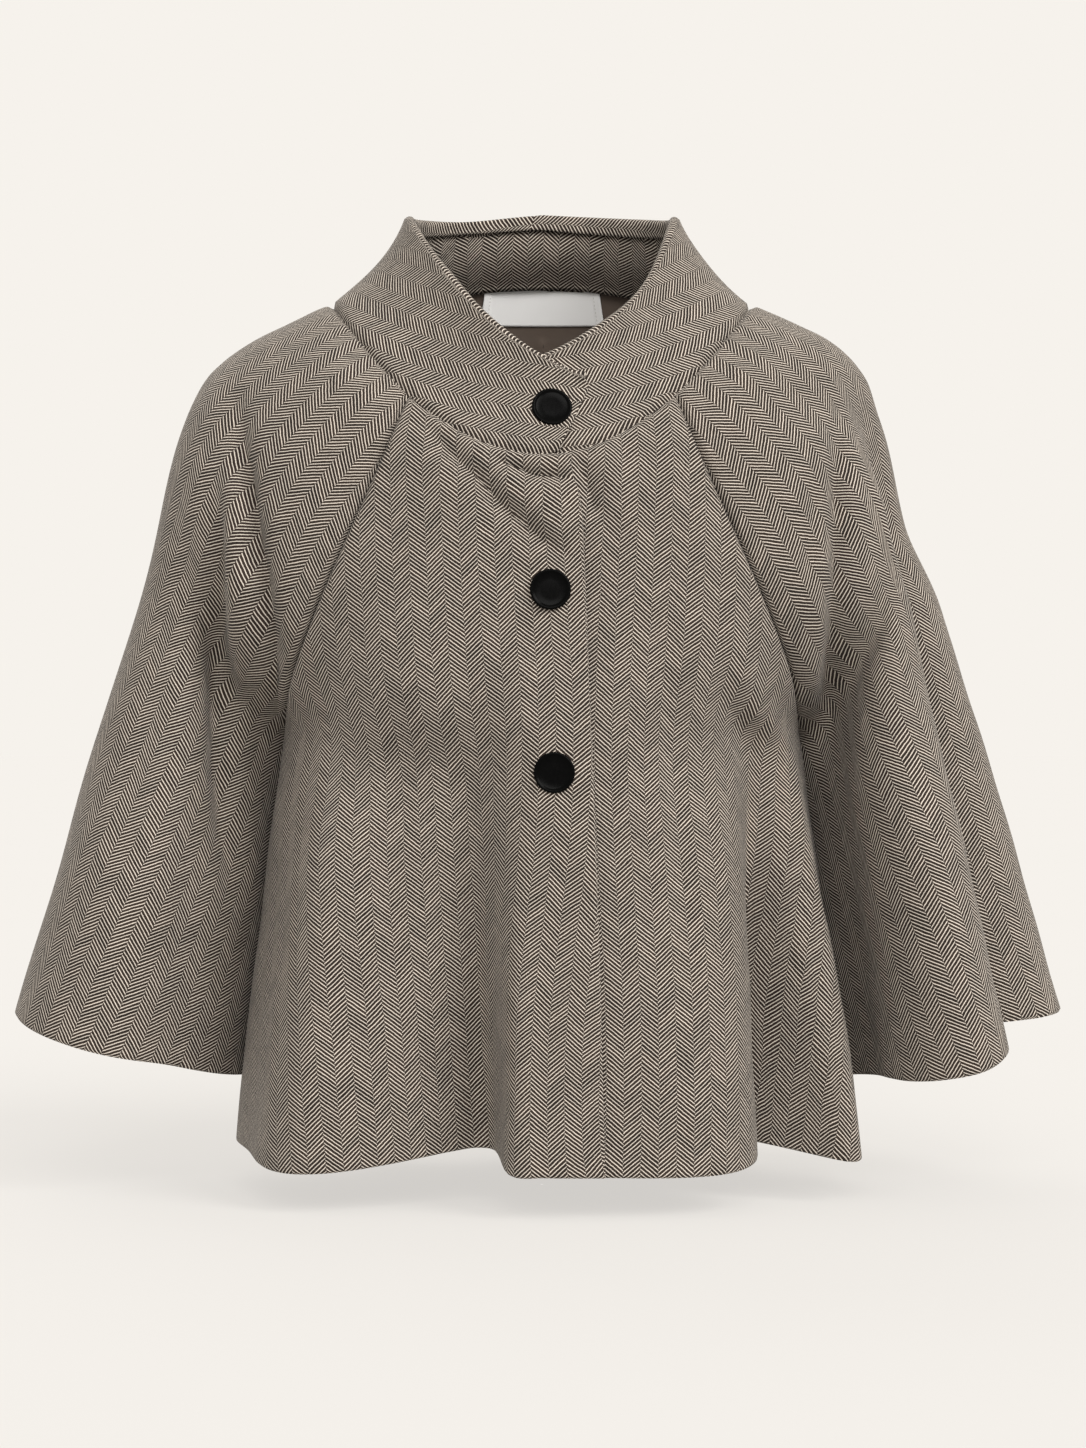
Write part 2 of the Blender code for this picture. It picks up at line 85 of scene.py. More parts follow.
COLLAR_LAP_BOTTOM = math.radians(4.5)
COLLAR_LAP_TOP = math.radians(20)
COLLAR_UNDER = math.radians(9)
COLLAR_LIFT_ENDS = math.radians(75)
UNDERARM = 0.625

# Centre front and centre back, row by row from the neck seam (t 0) to the hem (t 1)
CENTRE_COLUMNS = ("t", "front_y", "front_z", "lap_x", "under_x", "back_y", "back_z")
CENTRE = (
    (0.00, -0.118, -0.112, 0.016, -0.016, 0.095, 0.029),
    (0.15, -0.125, -0.150, 0.026, -0.015, 0.124, -0.040),
    (0.30, -0.131, -0.205, 0.029, -0.014, 0.137, -0.120),
    (0.45, -0.136, -0.260, 0.031, -0.013, 0.142, -0.200),
    (0.625, -0.143, -0.335, 0.034, -0.012, 0.147, -0.300),
    (0.80, -0.152, -0.455, 0.038, -0.010, 0.154, -0.440),
    (1.00, -0.162, -0.584, 0.041, -0.008, 0.165, -0.580),
)

# Raglan seams from the neck to the underarm
RAGLAN_COLUMNS = ("t", "front_x", "front_y", "front_z", "back_x", "back_y", "back_z")
RAGLAN = (
    (0.00, 0.0893, -0.0930, -0.0693, 0.0932, 0.0728, 0.0166),
    (0.15, 0.1046, -0.1050, -0.1072, 0.1080, 0.0950, -0.0300),
    (0.30, 0.1313, -0.1040, -0.1672, 0.1320, 0.1060, -0.1000),
    (0.45, 0.1559, -0.0860, -0.2233, 0.1560, 0.0940, -0.1800),
    (0.55, 0.1720, -0.0500, -0.2666, 0.1720, 0.0640, -0.2440),
    (0.625, 0.1780, 0.0120, -0.3000, 0.1780, 0.0120, -0.3000),
)

# Below the underarm: the side seam that front and back share, and the sleeve's own seam
BELOW_COLUMNS = ("t", "side_x", "side_y", "side_z", "sleeve_x", "sleeve_y", "sleeve_z")
BELOW = (
    (0.625, 0.1780, 0.0120, -0.3000, 0.1780, 0.0120, -0.3000),
    (0.72, 0.1860, -0.0040, -0.3700, 0.1846, 0.0330, -0.3620),
    (0.86, 0.1980, -0.0050, -0.4740, 0.1946, 0.0340, -0.4500),
    (1.00, 0.2095, -0.0050, -0.5790, 0.2044, 0.0340, -0.5360),
)

# How far the body's rows run straight at the centre, and how they arrive at the seam
HANDLE_COLUMNS = ("t", "centre_run", "front_in", "front_back", "front_up", "back_in", "back_fore", "back_up")
HANDLE = (
    (0.00, 0.045, 0.027, 0.017, 0.025, 0.027, 0.015, 0.005),
    (0.30, 0.070, 0.042, 0.022, 0.018, 0.042, 0.022, 0.006),
    (0.55, 0.100, 0.040, 0.060, 0.014, 0.040, 0.060, 0.004),
    (0.625, 0.112, 0.004, 0.088, 0.004, 0.004, 0.088, 0.002),
    (1.00, 0.135, 0.000, 0.100, 0.000, 0.000, 0.100, 0.000),
)

# Sleeve: its outer ridge, and how its rows leave the seam and reach the ridge
SLEEVE_COLUMNS = (
    "t", "ridge_x", "ridge_y", "ridge_z", "ridge_fore", "ridge_aft",
    "front_out", "front_fore", "front_up", "back_out", "back_aft", "back_up",
)
SLEEVE = (
    (0.00, 0.1450, 0.000, -0.001, 0.036, 0.030, 0.035, -0.022, 0.033, 0.033, -0.018, -0.009),
    (0.15, 0.1700, 0.002, -0.012, 0.050, 0.046, 0.036, -0.004, 0.042, 0.036, -0.005, 0.012),
    (0.30, 0.2050, 0.004, -0.029, 0.060, 0.056, 0.036, 0.010, 0.048, 0.036, 0.006, 0.034),
    (0.45, 0.2340, 0.006, -0.053, 0.068, 0.066, 0.042, 0.026, 0.046, 0.042, 0.020, 0.044),
    (0.55, 0.2480, 0.008, -0.086, 0.074, 0.074, 0.050, 0.044, 0.042, 0.050, 0.038, 0.042),
    (0.625, 0.2560, 0.010, -0.116, 0.080, 0.080, 0.056, 0.074, 0.026, 0.056, 0.070, 0.026),
    (0.72, 0.2745, 0.012, -0.192, 0.086, 0.088, 0.034, 0.128, 0.026, 0.010, 0.096, 0.026),
    (0.86, 0.3110, 0.014, -0.315, 0.094, 0.098, 0.026, 0.156, 0.014, -0.014, 0.120, 0.014),
    (1.00, 0.3625, 0.016, -0.492, 0.102, 0.108, 0.020, 0.172, 0.000, -0.030, 0.136, 0.000),
)

# Folds: where each runs across its panel at the top and hem, where it starts, its depth at the hem (out is
# positive) and how wide it is on the side of lower u and of higher u
FOLD_COLUMNS = ("panel", "u_top", "u_hem", "starts", "depth", "before", "after")
FOLDS = (
    ("front_right", 0.26, 0.215, 0.40, -0.056, 0.036, 0.18),
    ("front_right", 0.60, 0.560, 0.45, 0.026, 0.15, 0.15),
    ("front_left", 0.74, 0.620, 0.40, -0.052, 0.13, 0.050),
    ("front_left", 0.78, 0.715, 0.45, 0.024, 0.05, 0.07),
    ("front_left", 0.40, 0.320, 0.45, 0.010, 0.20, 0.14),
    ("back", -0.66, -0.620, 0.36, -0.030, 0.12, 0.16),
    ("back", -0.22, -0.200, 0.30, -0.036, 0.13, 0.13),
    ("back", 0.26, 0.240, 0.34, -0.032, 0.14, 0.12),
    ("back", 0.68, 0.640, 0.40, -0.030, 0.14, 0.12),
    ("sleeve_right", 0.19, 0.150, 0.40, -0.014, 0.08, 0.09),
    ("sleeve_right", 0.40, 0.340, 0.66, 0.008, 0.14, 0.12),
    ("sleeve_right", 0.66, 0.640, 0.50, -0.022, 0.08, 0.09),
    ("sleeve_right", 0.84, 0.820, 0.55, -0.020, 0.08, 0.08),
    ("sleeve_left", 0.12, 0.100, 0.40, -0.010, 0.06, 0.08),
    ("sleeve_left", 0.30, 0.240, 0.25, 0.034, 0.11, 0.055),
    ("sleeve_left", 0.40, 0.345, 0.25, -0.040, 0.040, 0.080),
    ("sleeve_left", 0.70, 0.660, 0.50, -0.022, 0.08, 0.09),
    ("sleeve_left", 0.86, 0.830, 0.55, -0.018, 0.08, 0.08),
)

# Creases: soft lines, seen from the front, the back or every side; out is positive
FRONT_SIDE = -1
BACK_SIDE = 1
EVERY_SIDE = 0
CREASE_COLUMNS = ("panel", "seen_from", "depth", "width", "path")
CREASES = (
    ("front_right", FRONT_SIDE, -0.0072, 0.0075,
     ((-0.086, -0.080), (-0.063, -0.108), (-0.046, -0.122),
      (-0.028, -0.143), (0.000, -0.168), (0.030, -0.192))),
    ("front_right", FRONT_SIDE, 0.0024, 0.0110,
     ((-0.060, -0.090), (-0.034, -0.116), (-0.014, -0.136), (0.014, -0.160), (0.034, -0.176))),
    ("front_right", FRONT_SIDE, -0.0052, 0.0055,
     ((-0.040, -0.098), (-0.025, -0.117), (-0.006, -0.125), (0.016, -0.127), (0.034, -0.129))),
    ("front_right", FRONT_SIDE, 0.0018, 0.0065,
     ((-0.034, -0.092), (-0.020, -0.108), (-0.004, -0.115), (0.014, -0.118), (0.032, -0.120))),
    ("front_right", FRONT_SIDE, -0.0040, 0.0130, ((-0.085, -0.260), (-0.100, -0.380), (-0.108, -0.500))),
    ("front_right", FRONT_SIDE, 0.0040, 0.0150, ((-0.136, -0.300), (-0.148, -0.440), (-0.152, -0.580))),
    ("front_left", FRONT_SIDE, -0.0040, 0.0065, ((0.022, -0.108), (0.030, -0.132), (0.036, -0.160))),
    ("front_left", FRONT_SIDE, 0.0030, 0.0090, ((0.040, -0.095), (0.048, -0.130), (0.056, -0.170))),
    ("front_left", FRONT_SIDE, -0.0040, 0.0140, ((0.080, -0.220), (0.090, -0.340), (0.098, -0.460))),
    ("sleeve_right", FRONT_SIDE, -0.0125, 0.0090,
     ((-0.212, -0.045), (-0.206, -0.080), (-0.196, -0.152),
      (-0.188, -0.194), (-0.181, -0.250), (-0.178, -0.310))),
    ("sleeve_right", FRONT_SIDE, -0.0110, 0.0085,
     ((-0.219, -0.085), (-0.220, -0.130), (-0.220, -0.180),
      (-0.223, -0.230), (-0.221, -0.320), (-0.214, -0.440))),
    ("sleeve_right", FRONT_SIDE, 0.0045, 0.0070,
     ((-0.208, -0.090), (-0.207, -0.160), (-0.203, -0.230), (-0.201, -0.300))),
    ("sleeve_right", FRONT_SIDE, -0.0045, 0.0140, ((-0.244, -0.170), (-0.268, -0.290), (-0.294, -0.420))),
    ("sleeve_left", FRONT_SIDE, -0.0120, 0.0092,
     ((0.206, -0.050), (0.202, -0.095), (0.201, -0.150),
      (0.200, -0.200), (0.199, -0.250), (0.198, -0.340))),
    ("sleeve_left", FRONT_SIDE, -0.0035, 0.0065, ((0.184, -0.105), (0.181, -0.158), (0.176, -0.205))),
    ("sleeve_left", FRONT_SIDE, -0.0032, 0.0120,
     ((0.212, -0.035), (0.226, -0.113), (0.235, -0.167),
      (0.244, -0.213), (0.253, -0.270), (0.268, -0.370))),
    ("sleeve_left", EVERY_SIDE, -0.0120, 0.0450, ((0.210, -0.015), (0.236, -0.115), (0.262, -0.215))),
    ("back", BACK_SIDE, 0.0048, 0.0130, ((-0.102, -0.010), (-0.082, -0.110), (-0.066, -0.230))),
    ("back", BACK_SIDE, 0.0048, 0.0140, ((0.094, 0.000), (0.082, -0.110), (0.072, -0.250))),
    ("back", BACK_SIDE, 0.0040, 0.0190, ((-0.018, -0.100), (-0.026, -0.220), (-0.034, -0.360))),
    ("sleeve_right", BACK_SIDE, -0.0080, 0.0100, ((-0.200, -0.055), (-0.193, -0.170), (-0.188, -0.290))),
    ("sleeve_right", BACK_SIDE, -0.0070, 0.0120, ((-0.222, -0.150), (-0.231, -0.280), (-0.240, -0.420))),
    ("sleeve_left", BACK_SIDE, -0.0080, 0.0100, ((0.204, -0.060), (0.196, -0.170), (0.189, -0.280))),
    ("sleeve_left", BACK_SIDE, -0.0070, 0.0120, ((0.224, -0.170), (0.235, -0.300), (0.246, -0.440))),
)
CREASE_FADE = 0.32
CREASE_FULL_FACING = 0.5

# Slow unevenness of hanging cloth: wave directions with their length in metres, and their height
WAVE_COLUMNS = ("x", "y", "z", "length", "height")
WAVES = (
    (0.9, 0.2, 0.3, 0.071, 0.00035),
    (0.3, 0.8, 0.5, 0.093, 0.00040),
    (-0.6, 0.4, 0.7, 0.058, 0.00025),
    (0.7, -0.5, 0.5, 0.131, 0.00050),
)

# Edges of the panels: how a seam sinks, how a free edge rounds, and where the cloth is doubled
SEAM_DIP = 0.0034
SEAM_REACH = 0.0024
EDGE_ROUND = 0.0020
LAP_DOUBLE = 0.0020
LAP_DOUBLE_REACH = 0.030
HEM_DOUBLE = 0.0014
HEM_DOUBLE_REACH = 0.034

# The solids' own grids, which the cloth is drawn through, then held at its seams and smoothed at the underarm
SOLID_ROWS = 17
SOLID_COLUMNS = {"front": 21, "back": 25, "sleeve": 29}
PIN_REACH = 0.055
IRON_SHARE = 0.5
IRON_REACH = 0.10
IRON_ROUNDS = 60

# Fine grids: rows or columns between the edges, and the finer steps at the edges as shares of the panel
EDGE_ACROSS = (0.0, 0.003, 0.008, 0.015)
EDGE_DOWN = (0.0, 0.0012, 0.0030, 0.0055)
FRONT_GRID = (150, 100)
BACK_GRID = (150, 150)
SLEEVE_GRID = (150, 150)
COLLAR_GRID = (34, 130)

# Laying flat: every how many rows, in how many rounds, and how far the cloth that a crease takes up spreads
CUT_STEP = 2
CUT_ROUNDS = 12
TAKE_UP_SPREAD = 40

# Collar: its top edge rolls over inwards and ends in a seam, and the corner of the tab is round
ROLL_RADIUS = 0.0022
ROLL_THINNER = 0.45
ROLL_STEPS = 8
ROLL_STARTS = 0.02
ROLL_STRIP = 0.0085
STRIP_STEPS = 4
TAB_CORNER = math.radians(3.2)
TAB_CORNER_STARTS = 0.80
CORNER_SMOOTH = 9
COLLAR_JOIN = 0.0001
TOP_SIDE_DROP = 0.045
TOP_BACK_LIFT = 0.06
TOP_FRONT_DROP = 0.08
TOP_FRONT_POWER = 8
TAB_LIFT = 0.0030
TAB_LIFT_REACH = 0.009
STRIP_RISE = 0.0010
CENTRE_DIP = 0.0006
COLLAR_WALL = 0.0012
COLLAR_STAND = 0.0034

# Inner collar: how deep it lies, and how its edges tuck in under the roll and lie over the label
FACING_DEPTH = 0.0046
FACING_WALL = 0.0010
FACING_TUCK = 0.0055
FACING_SINK = 0.0010
FACING_LIP = 0.0016
FACING_FROM = math.radians(-62)
FACING_TO = math.radians(-298)
FACING_LOW = 0.03
FACING_GRID = (26, 170)

# Lining, its pleat, and the label
LINING_GRID = (90, 120)
LINING_HALF = 0.82
LINING_LOW = 0.50
LINING_TOP = 0.006
PLEAT_DEPTH = 0.0012
PLEAT_WIDTH = 0.0030
PLEAT_STITCHES = 24
LABEL_HALF = 0.0430
LABEL_ROW = 0.03
LABEL_ROW_STEPS = 200
LABEL_ROW_GAP = 0.001
LABEL_HIGH = 0.0191
LABEL_LOW = -0.0050
LABEL_GRID = (20, 70)
LABEL_WALL = 0.0006
LABEL_FOLD = 0.0050
LABEL_FOLD_LIFT = 0.0004
LABEL_SEARCH = 0.2
LABEL_SEARCH_STEPS = 400

# Buttons: the part's own sizes, turned finer
BUTTON_RADIUS = 0.0135
BUTTON_STEPS = 72
BUTTON_SEAT = 0.0010
MERGE_WITHIN = 0.000003

# Radius and height, from the middle of the dish, over the thin rim, to the shank
BUTTON_PROFILE = (
    (0.0, 0.0036),
    (0.0060, 0.0034),
    (0.0100, 0.0034),
    (0.0112, 0.0037),
    (0.0118, 0.0042),
    (0.0124, 0.0044),
    (0.0130, 0.0042),
    (0.0134, 0.0036),
    (BUTTON_RADIUS, 0.0028),
    (0.0134, 0.0018),
    (0.0126, 0.0008),
    (0.0110, 0.0002),
    (0.0030, 0.0),
    (0.0030, -0.0012),
    (0.0, -0.0012),
)

# Buttonholes and stitches: the shares of a hole before and after its button, and of a lip within each stitch
HOLE_LENGTH = 0.024
HOLE_BEFORE = 0.8
HOLE_AFTER = 0.2
LIP_STARTS = 0.2
LIP_ENDS = 1.6
LIP_STITCH = 1.4
LIP_THREAD = 1.5
HOLE_PITCH = 0.0009
HOLE_LIP = 0.0011
STITCH_RADIUS = 0.00030
STITCH_SIDES = 6

# Weave: the width of a rib, the height of one line down the rib, and the lines' slope
RIB = 0.0112
LINE = 0.0028
SLOPE = 0.86
YARN_LIGHT = (0.500, 0.448, 0.386)
YARN_DARK = (0.018, 0.012, 0.009)
DARK_TONE = 0.6
FUZZ_SHARE = 0.22
LIGHT_RELIEF = 0.7
FUZZ_RELIEF = 0.5

# Grain: which way the ribs run, at a share across and down each panel
UPRIGHT = (0, 0, 1)
FRONT_GRAIN_AT = (0.15, 0.6)
BACK_GRAIN_AT = (0.5, 0.5)
SLEEVE_GRAIN_AT = (0.28, 0.5)
SLEEVE_GRAIN = math.radians(55)
COLLAR_RIGHT_GRAIN_AT = (0.1, 0.5)
COLLAR_LEFT_GRAIN_AT = (0.9, 0.5)
COLLAR_GRAIN_RISE = 0.20

# Colours of the satin, label, buttons and thread
SATIN_BROWN = (0.120, 0.092, 0.074)
LABEL_TINT = (0.98, 0.98, 0.975)
BUTTON_DARK = (0.0006, 0.0006, 0.0007)
BUTTON_DULL = (0.002, 0.002, 0.0019)
THREAD_TAUPE = (0.10, 0.080, 0.065)
THREAD_WHITE = (0.70, 0.69, 0.67)
THREAD_BROWN = (0.030, 0.022, 0.017)

# Camera and studio
CAMERA_AT = (0.0007, -2.2, -0.2898)
VIEW_HEIGHT = 1.0136
SENSOR = 36.0
FLOOR_Z = -0.612
FLOOR_RINGS = (0.001, 1.0, 3.0, 9.0, 30.0)
FLOOR_STEPS = 48
PAPER = (0.165, 0.161, 0.154)
PAPER_GLOW = (0.620, 0.600, 0.574)
SKY = (0.922, 0.888, 0.839)

# Light: where each sun stands, how wide it is and its power
WARM = (1.0, 0.985, 0.965)
SUNS = {
    "key": ((0.80, -0.75, 0.85), math.radians(30), 2.2),
    "front": ((0.05, -1.0, 0.62), math.radians(30), 1.7),
    "back": ((-0.30, 1.0, 0.60), math.radians(60), 1.2),
}

# A place inside the body, the collar and each sleeve, from which the panels face out
AXIS = np.array((0.0, 0.0, -0.3))
NAPE = np.array((0.0, 0.0, 0.0))
SLEEVE_CORES = {
    WEARER_LEFT: np.array((0.20, 0.012, -0.30)),
    WEARER_RIGHT: np.array((-0.20, 0.012, -0.30)),
}


# Surfaces, as in the part's source

def gentle_slopes(stations, values):
    """Slopes at a table's rows that keep a cubic through them from overshooting."""
    steps = np.diff(values) / np.diff(stations)
    before, after = steps[:-1], steps[1:]
    same_way = before * after > 0
    total = np.where(same_way, before + after, 1.0)
    inner = np.where(same_way, 2 * before * after / total, 0.0)
    return np.concatenate([steps[:1], inner, steps[-1:]])


def smooth(columns, rows, name, t):
    """A column of a table at t, on a cubic through its rows."""
    stations = np.array([row[0] for row in rows])
    values = np.array([row[columns.index(name)] for row in rows])
    slopes = gentle_slopes(stations, values)
    at = np.clip(np.searchsorted(stations, t, side="right") - 1, 0, len(stations) - 2)
    span = stations[at + 1] - stations[at]
    s = (t - stations[at]) / span
    rise = s * s * (3 - 2 * s)
    leave = s * (1 - s) ** 2 * span
    arrive = s * s * (s - 1) * span
    return values[at] * (1 - rise) + values[at + 1] * rise + leave * slopes[at] + arrive * slopes[at + 1]


def point(x, y, z):
    return np.stack(np.broadcast_arrays(x, y, z), axis=-1).astype(float)


def ease(s):
    s = np.clip(s, 0, 1)
    return s * s * (3 - 2 * s)


def unit(vectors):
    return vectors / np.linalg.norm(vectors, axis=-1, keepdims=True)


def bezier(start, leave, arrive, end, u):
    u = u[..., None]
    return start * (1 - u) ** 3 + leave * 3 * u * (1 - u) ** 2 + arrive * 3 * u * u * (1 - u) + end * u**3


def lap_lift(angle):
    """How far the lapping side stands proud, from the centre front to where it dies out round the side."""
    return LAP_LIFT * ease((angle + COLLAR_LIFT_ENDS) / COLLAR_LIFT_ENDS)


def neck_seam(angle, lift=0.0):
    """The neck seam at an angle from the centre front, towards +X."""
    cosine = np.cos(angle)
    depth = np.where(cosine > 0, NECK_FRONT + lift, NECK_BACK)
    rise = np.where(cosine > 0, -NECK_FRONT_DROP, NECK_BACK_RISE)
    return point(NECK_HALF_WIDTH * np.sin(angle), -depth * cosine, NECK_SIDE_Z + rise * cosine**2)


def top_rise(angle):
    """How much of its height the upper edge has gained beside the V, whose edges bow outwards."""
    across = np.abs(np.sin(angle))
    on_right = np.sin(angle) < 0
    straight = np.where(on_right, TOP_STRAIGHT_RIGHT, TOP_STRAIGHT_LEFT)
    power = np.where(on_right, TOP_POWER_RIGHT, TOP_POWER_LEFT)
    bowed = straight * across + (1 - straight) * across**power
    past_centre = (angle > 0) | (angle < -2 * math.pi)
    return np.where(past_centre, -TOP_TAB_SLOPE * across, bowed)


def collar_top(angle, lift=0.0):
    """The collar's upper edge, down from the shoulder to the V, then flatter along the lapped end."""
    cosine = np.cos(angle)
    front_z = TOP_FRONT_Z + (TOP_SIDE_Z - TOP_FRONT_Z) * top_rise(angle)
    back_z = TOP_BACK_Z + (TOP_SIDE_Z - TOP_BACK_Z) * np.abs(np.sin(angle))
    depth = np.where(cosine > 0, TOP_FRONT + lift, TOP_BACK)
    return point(TOP_HALF_WIDTH * np.sin(angle), -depth * cosine, np.where(cosine > 0, front_z, back_z))


def collar_surface(angle, v):
    """The collar's outer face: v runs up from the neck seam, and the angle runs back from the lapped end."""
    lift = lap_lift(angle)
    bottom = neck_seam(angle, lift)
    top = collar_top(angle, lift)
    hollow = COLLAR_HOLLOW * 4 * v * (1 - v)
    inward = point(-np.sin(angle), np.cos(angle), 0 * angle)
    return bottom + (top - bottom) * v[..., None] + inward * hollow[..., None]


def centre(name, t):
    return smooth(CENTRE_COLUMNS, CENTRE, name, t)


def seam(face, below, t, side):
    """The raglan seam of the front or back down to the underarm, then a seam below it."""
    x, y, z = (smooth(RAGLAN_COLUMNS, RAGLAN, f"{face}_{axis}", np.minimum(t, UNDERARM)) for axis in "xyz")
    low_x, low_y, low_z = (smooth(BELOW_COLUMNS, BELOW, f"{below}_{axis}", t) for axis in "xyz")
    return np.where((t > UNDERARM)[..., None], point(side * low_x, low_y, low_z), point(side * x, y, z))


def handle(name, t):
    return smooth(HANDLE_COLUMNS, HANDLE, name, t)


def snapped(rows, neck, t):
    """Rows moved so that the first lies on the neck seam, which dies out down the panel."""
    hold = 1 - ease(t / NECK_HOLD)
    return rows + (neck - rows[:1]) * hold[..., None]


def front_surface(u, t, side):
    """A front's outer face: u runs from its front edge to the raglan and side seam."""
    lapping = side == WEARER_RIGHT
    edge_x = centre("lap_x" if lapping else "under_x", t)
    lift = LAP_LIFT if lapping else 0.0
    tuck = 0.0 if lapping else UNDER_TUCK * ease(t / UNDER_TUCK_ENDS)
    start = point(edge_x, centre("front_y", t) - lift + tuck, centre("front_z", t))
    leave = start + point(side * handle("centre_run", t), 0, 0)
    end = seam("front", "side", t, side)
    into = point(side * handle("front_in", t), handle("front_back", t), handle("front_up", t))
    rows = bezier(start, leave, end - into, end, u)
    edge_angle = np.arcsin(centre("lap_x" if lapping else "under_x", np.zeros(1))[0] / NECK_HALF_WIDTH)
    angle = edge_angle + (side * RAGLAN_FRONT - edge_angle) * u
    return snapped(rows, neck_seam(angle, lap_lift(angle) if lapping else 0.0), t)


def back_surface(u, t):
    """The back's outer face: u runs from the right seam at -1 to the left seam at 1."""
    side = np.where(u < 0, -1.0, 1.0)
    start = point(0, centre("back_y", t), centre("back_z", t))
    leave = start + point(side * handle("centre_run", t), 0, 0)
    end = seam("back", "side", t, side)
    into = point(side * handle("back_in", t), -handle("back_fore", t), handle("back_up", t))
    rows = bezier(start, leave, end - into, end, np.abs(u))
    angle = side * (math.pi + (RAGLAN_BACK - math.pi) * np.abs(u))
    return snapped(rows, neck_seam(angle), t)


def sleeve_value(name, t):
    return smooth(SLEEVE_COLUMNS, SLEEVE, name, t)


def sleeve_surface(u, t, side):
    """A sleeve's outer face: u runs from the front raglan seam, over the ridge at 0.5, to the back seam."""
    ridge = point(side * sleeve_value("ridge_x", t), sleeve_value("ridge_y", t), sleeve_value("ridge_z", t))
    front = seam("front", "sleeve", t, side)
    back = seam("back", "sleeve", t, side)
    front_leave = front + point(
        side * sleeve_value("front_out", t), -sleeve_value("front_fore", t), sleeve_value("front_up", t)
    )
    back_leave = back + point(
        side * sleeve_value("back_out", t), sleeve_value("back_aft", t), sleeve_value("back_up", t)
    )
    fore = ridge - point(0, sleeve_value("ridge_fore", t), 0)
    aft = ridge + point(0, sleeve_value("ridge_aft", t), 0)
    front_half = bezier(front, front_leave, fore, ridge, np.clip(2 * u, 0, 1))
    back_half = bezier(ridge, aft, back_leave, back, np.clip(2 * u - 1, 0, 1))
    rows = np.where((u < 0.5)[..., None], front_half, back_half)
    front_angle = RAGLAN_FRONT + (math.pi / 2 - RAGLAN_FRONT) * 2 * u
    back_angle = math.pi / 2 + (RAGLAN_BACK - math.pi / 2) * (2 * u - 1)
    angle = side * np.where(u < 0.5, front_angle, back_angle)
    return snapped(rows, neck_seam(angle), t)


# Cloth: folds, creases and edges

def outward(points, side_of):
    """Unit normals of a grid, turned to the side of the cloth that shows."""
    normals = unit(np.cross(np.gradient(points, axis=1), np.gradient(points, axis=0)))
    middle = tuple(n // 2 for n in points.shape[:2])
    facing = np.sign(np.dot(normals[middle], points[middle] - side_of))
    return normals * facing


def fold_depth(panel, u, t):
    """The depth of all of a panel's folds, out of its face."""
    total = np.zeros_like(u)
    for row in FOLDS:
        fold = dict(zip(FOLD_COLUMNS, row))
        if fold["panel"] != panel:
            continue
        grown = ease((t - fold["starts"]) / (1 - fold["starts"]))
        away = u - (fold["u_top"] + (fold["u_hem"] - fold["u_top"]) * t)
        width = np.where(away < 0, fold["before"], fold["after"])
        total += fold["depth"] * grown * np.exp(-((away / width) ** 2))
    return total


def distances(points, axis):
    """How far each point of a grid lies from the first and the last end of its row or column, along it."""
    steps = np.linalg.norm(np.diff(points, axis=axis), axis=-1)
    along = np.cumsum(steps, axis=axis)
    first = np.insert(along, 0, 0.0, axis=axis)
    last = np.take(first, [-1], axis=axis) - first
    return first, last


def dressed(panel, points, u, t, side_of):
    """A panel's rows with its folds, and with the cloth rising a little from its seams."""
    normals = outward(points, side_of)
    near = np.minimum(*distances(points, 1))
    held = ease(near / FOLD_FADE)
    puff = SEAM_PUFF * (1 - np.exp(-near / SEAM_PUFF_REACH))
    folds = fold_depth(panel, u, t) * held
    return points + normals * (folds + puff)[..., None] - point(0, 0, HEM_SWAY * folds)


def along_path(places, path):
    """How far each place lies from a path of straight steps, and its share of the way along it."""
    corners = np.array(path)
    runs = np.diff(corners, axis=0)
    lengths = np.linalg.norm(runs, axis=1)
    passed = np.insert(np.cumsum(lengths), 0, 0.0)
    nearest = np.full(places.shape[:2], np.inf)
    share = np.zeros(places.shape[:2])
    for corner, run, length, before in zip(corners, runs, lengths, passed):
        from_corner = places - corner
        step = np.clip(from_corner @ run / length**2, 0, 1)
        away = np.linalg.norm(from_corner - step[..., None] * run, axis=-1)
        share = np.where(away < nearest, (before + step * length) / passed[-1], share)
        nearest = np.minimum(nearest, away)
    return nearest, share


def crease_depth(panel, points, normals):
    """The depth of a panel's creases, which fade towards both ends."""
    total = np.zeros(points.shape[:2])
    for row in CREASES:
        crease = dict(zip(CREASE_COLUMNS, row))
        if crease["panel"] != panel:
            continue
        away, share = along_path(points[..., [0, 2]], crease["path"])
        fade = ease(share / CREASE_FADE) * ease((1 - share) / CREASE_FADE)
        facing = crease["seen_from"] * normals[..., 1]
        seen = ease(facing / CREASE_FULL_FACING) if crease["seen_from"] else 1.0
        total += crease["depth"] * seen * fade * np.exp(-((away / crease["width"]) ** 2))
    return total


def unevenness(points):
    """How far hanging cloth strays from its form, as a sum of slow waves."""
    total = np.zeros(points.shape[:2])
    for row in WAVES:
        wave = dict(zip(WAVE_COLUMNS, row))
        travel = points @ np.array((wave["x"], wave["y"], wave["z"]))
        total += wave["height"] * np.sin(2 * math.pi * travel / wave["length"])
    return total


def graded(count, edge):
    """Shares from 0 to 1, with finer steps near both ends."""
    inner = np.linspace(edge[-1], 1 - edge[-1], count)
    start = np.array(edge[:-1])
    return np.concatenate([start, inner, 1 - start[::-1]])


def crossed(down, across):
    """Two grids: one of the values that run down, one of those that run across."""
    return np.meshgrid(down, across, indexing="ij")


def fine_grid(shape, u_range=(0.0, 1.0)):
    rows, columns = shape
    low, high = u_range
    across = low + (high - low) * graded(columns, EDGE_ACROSS)
    t, u = crossed(graded(rows, EDGE_DOWN), across)
    return u, t


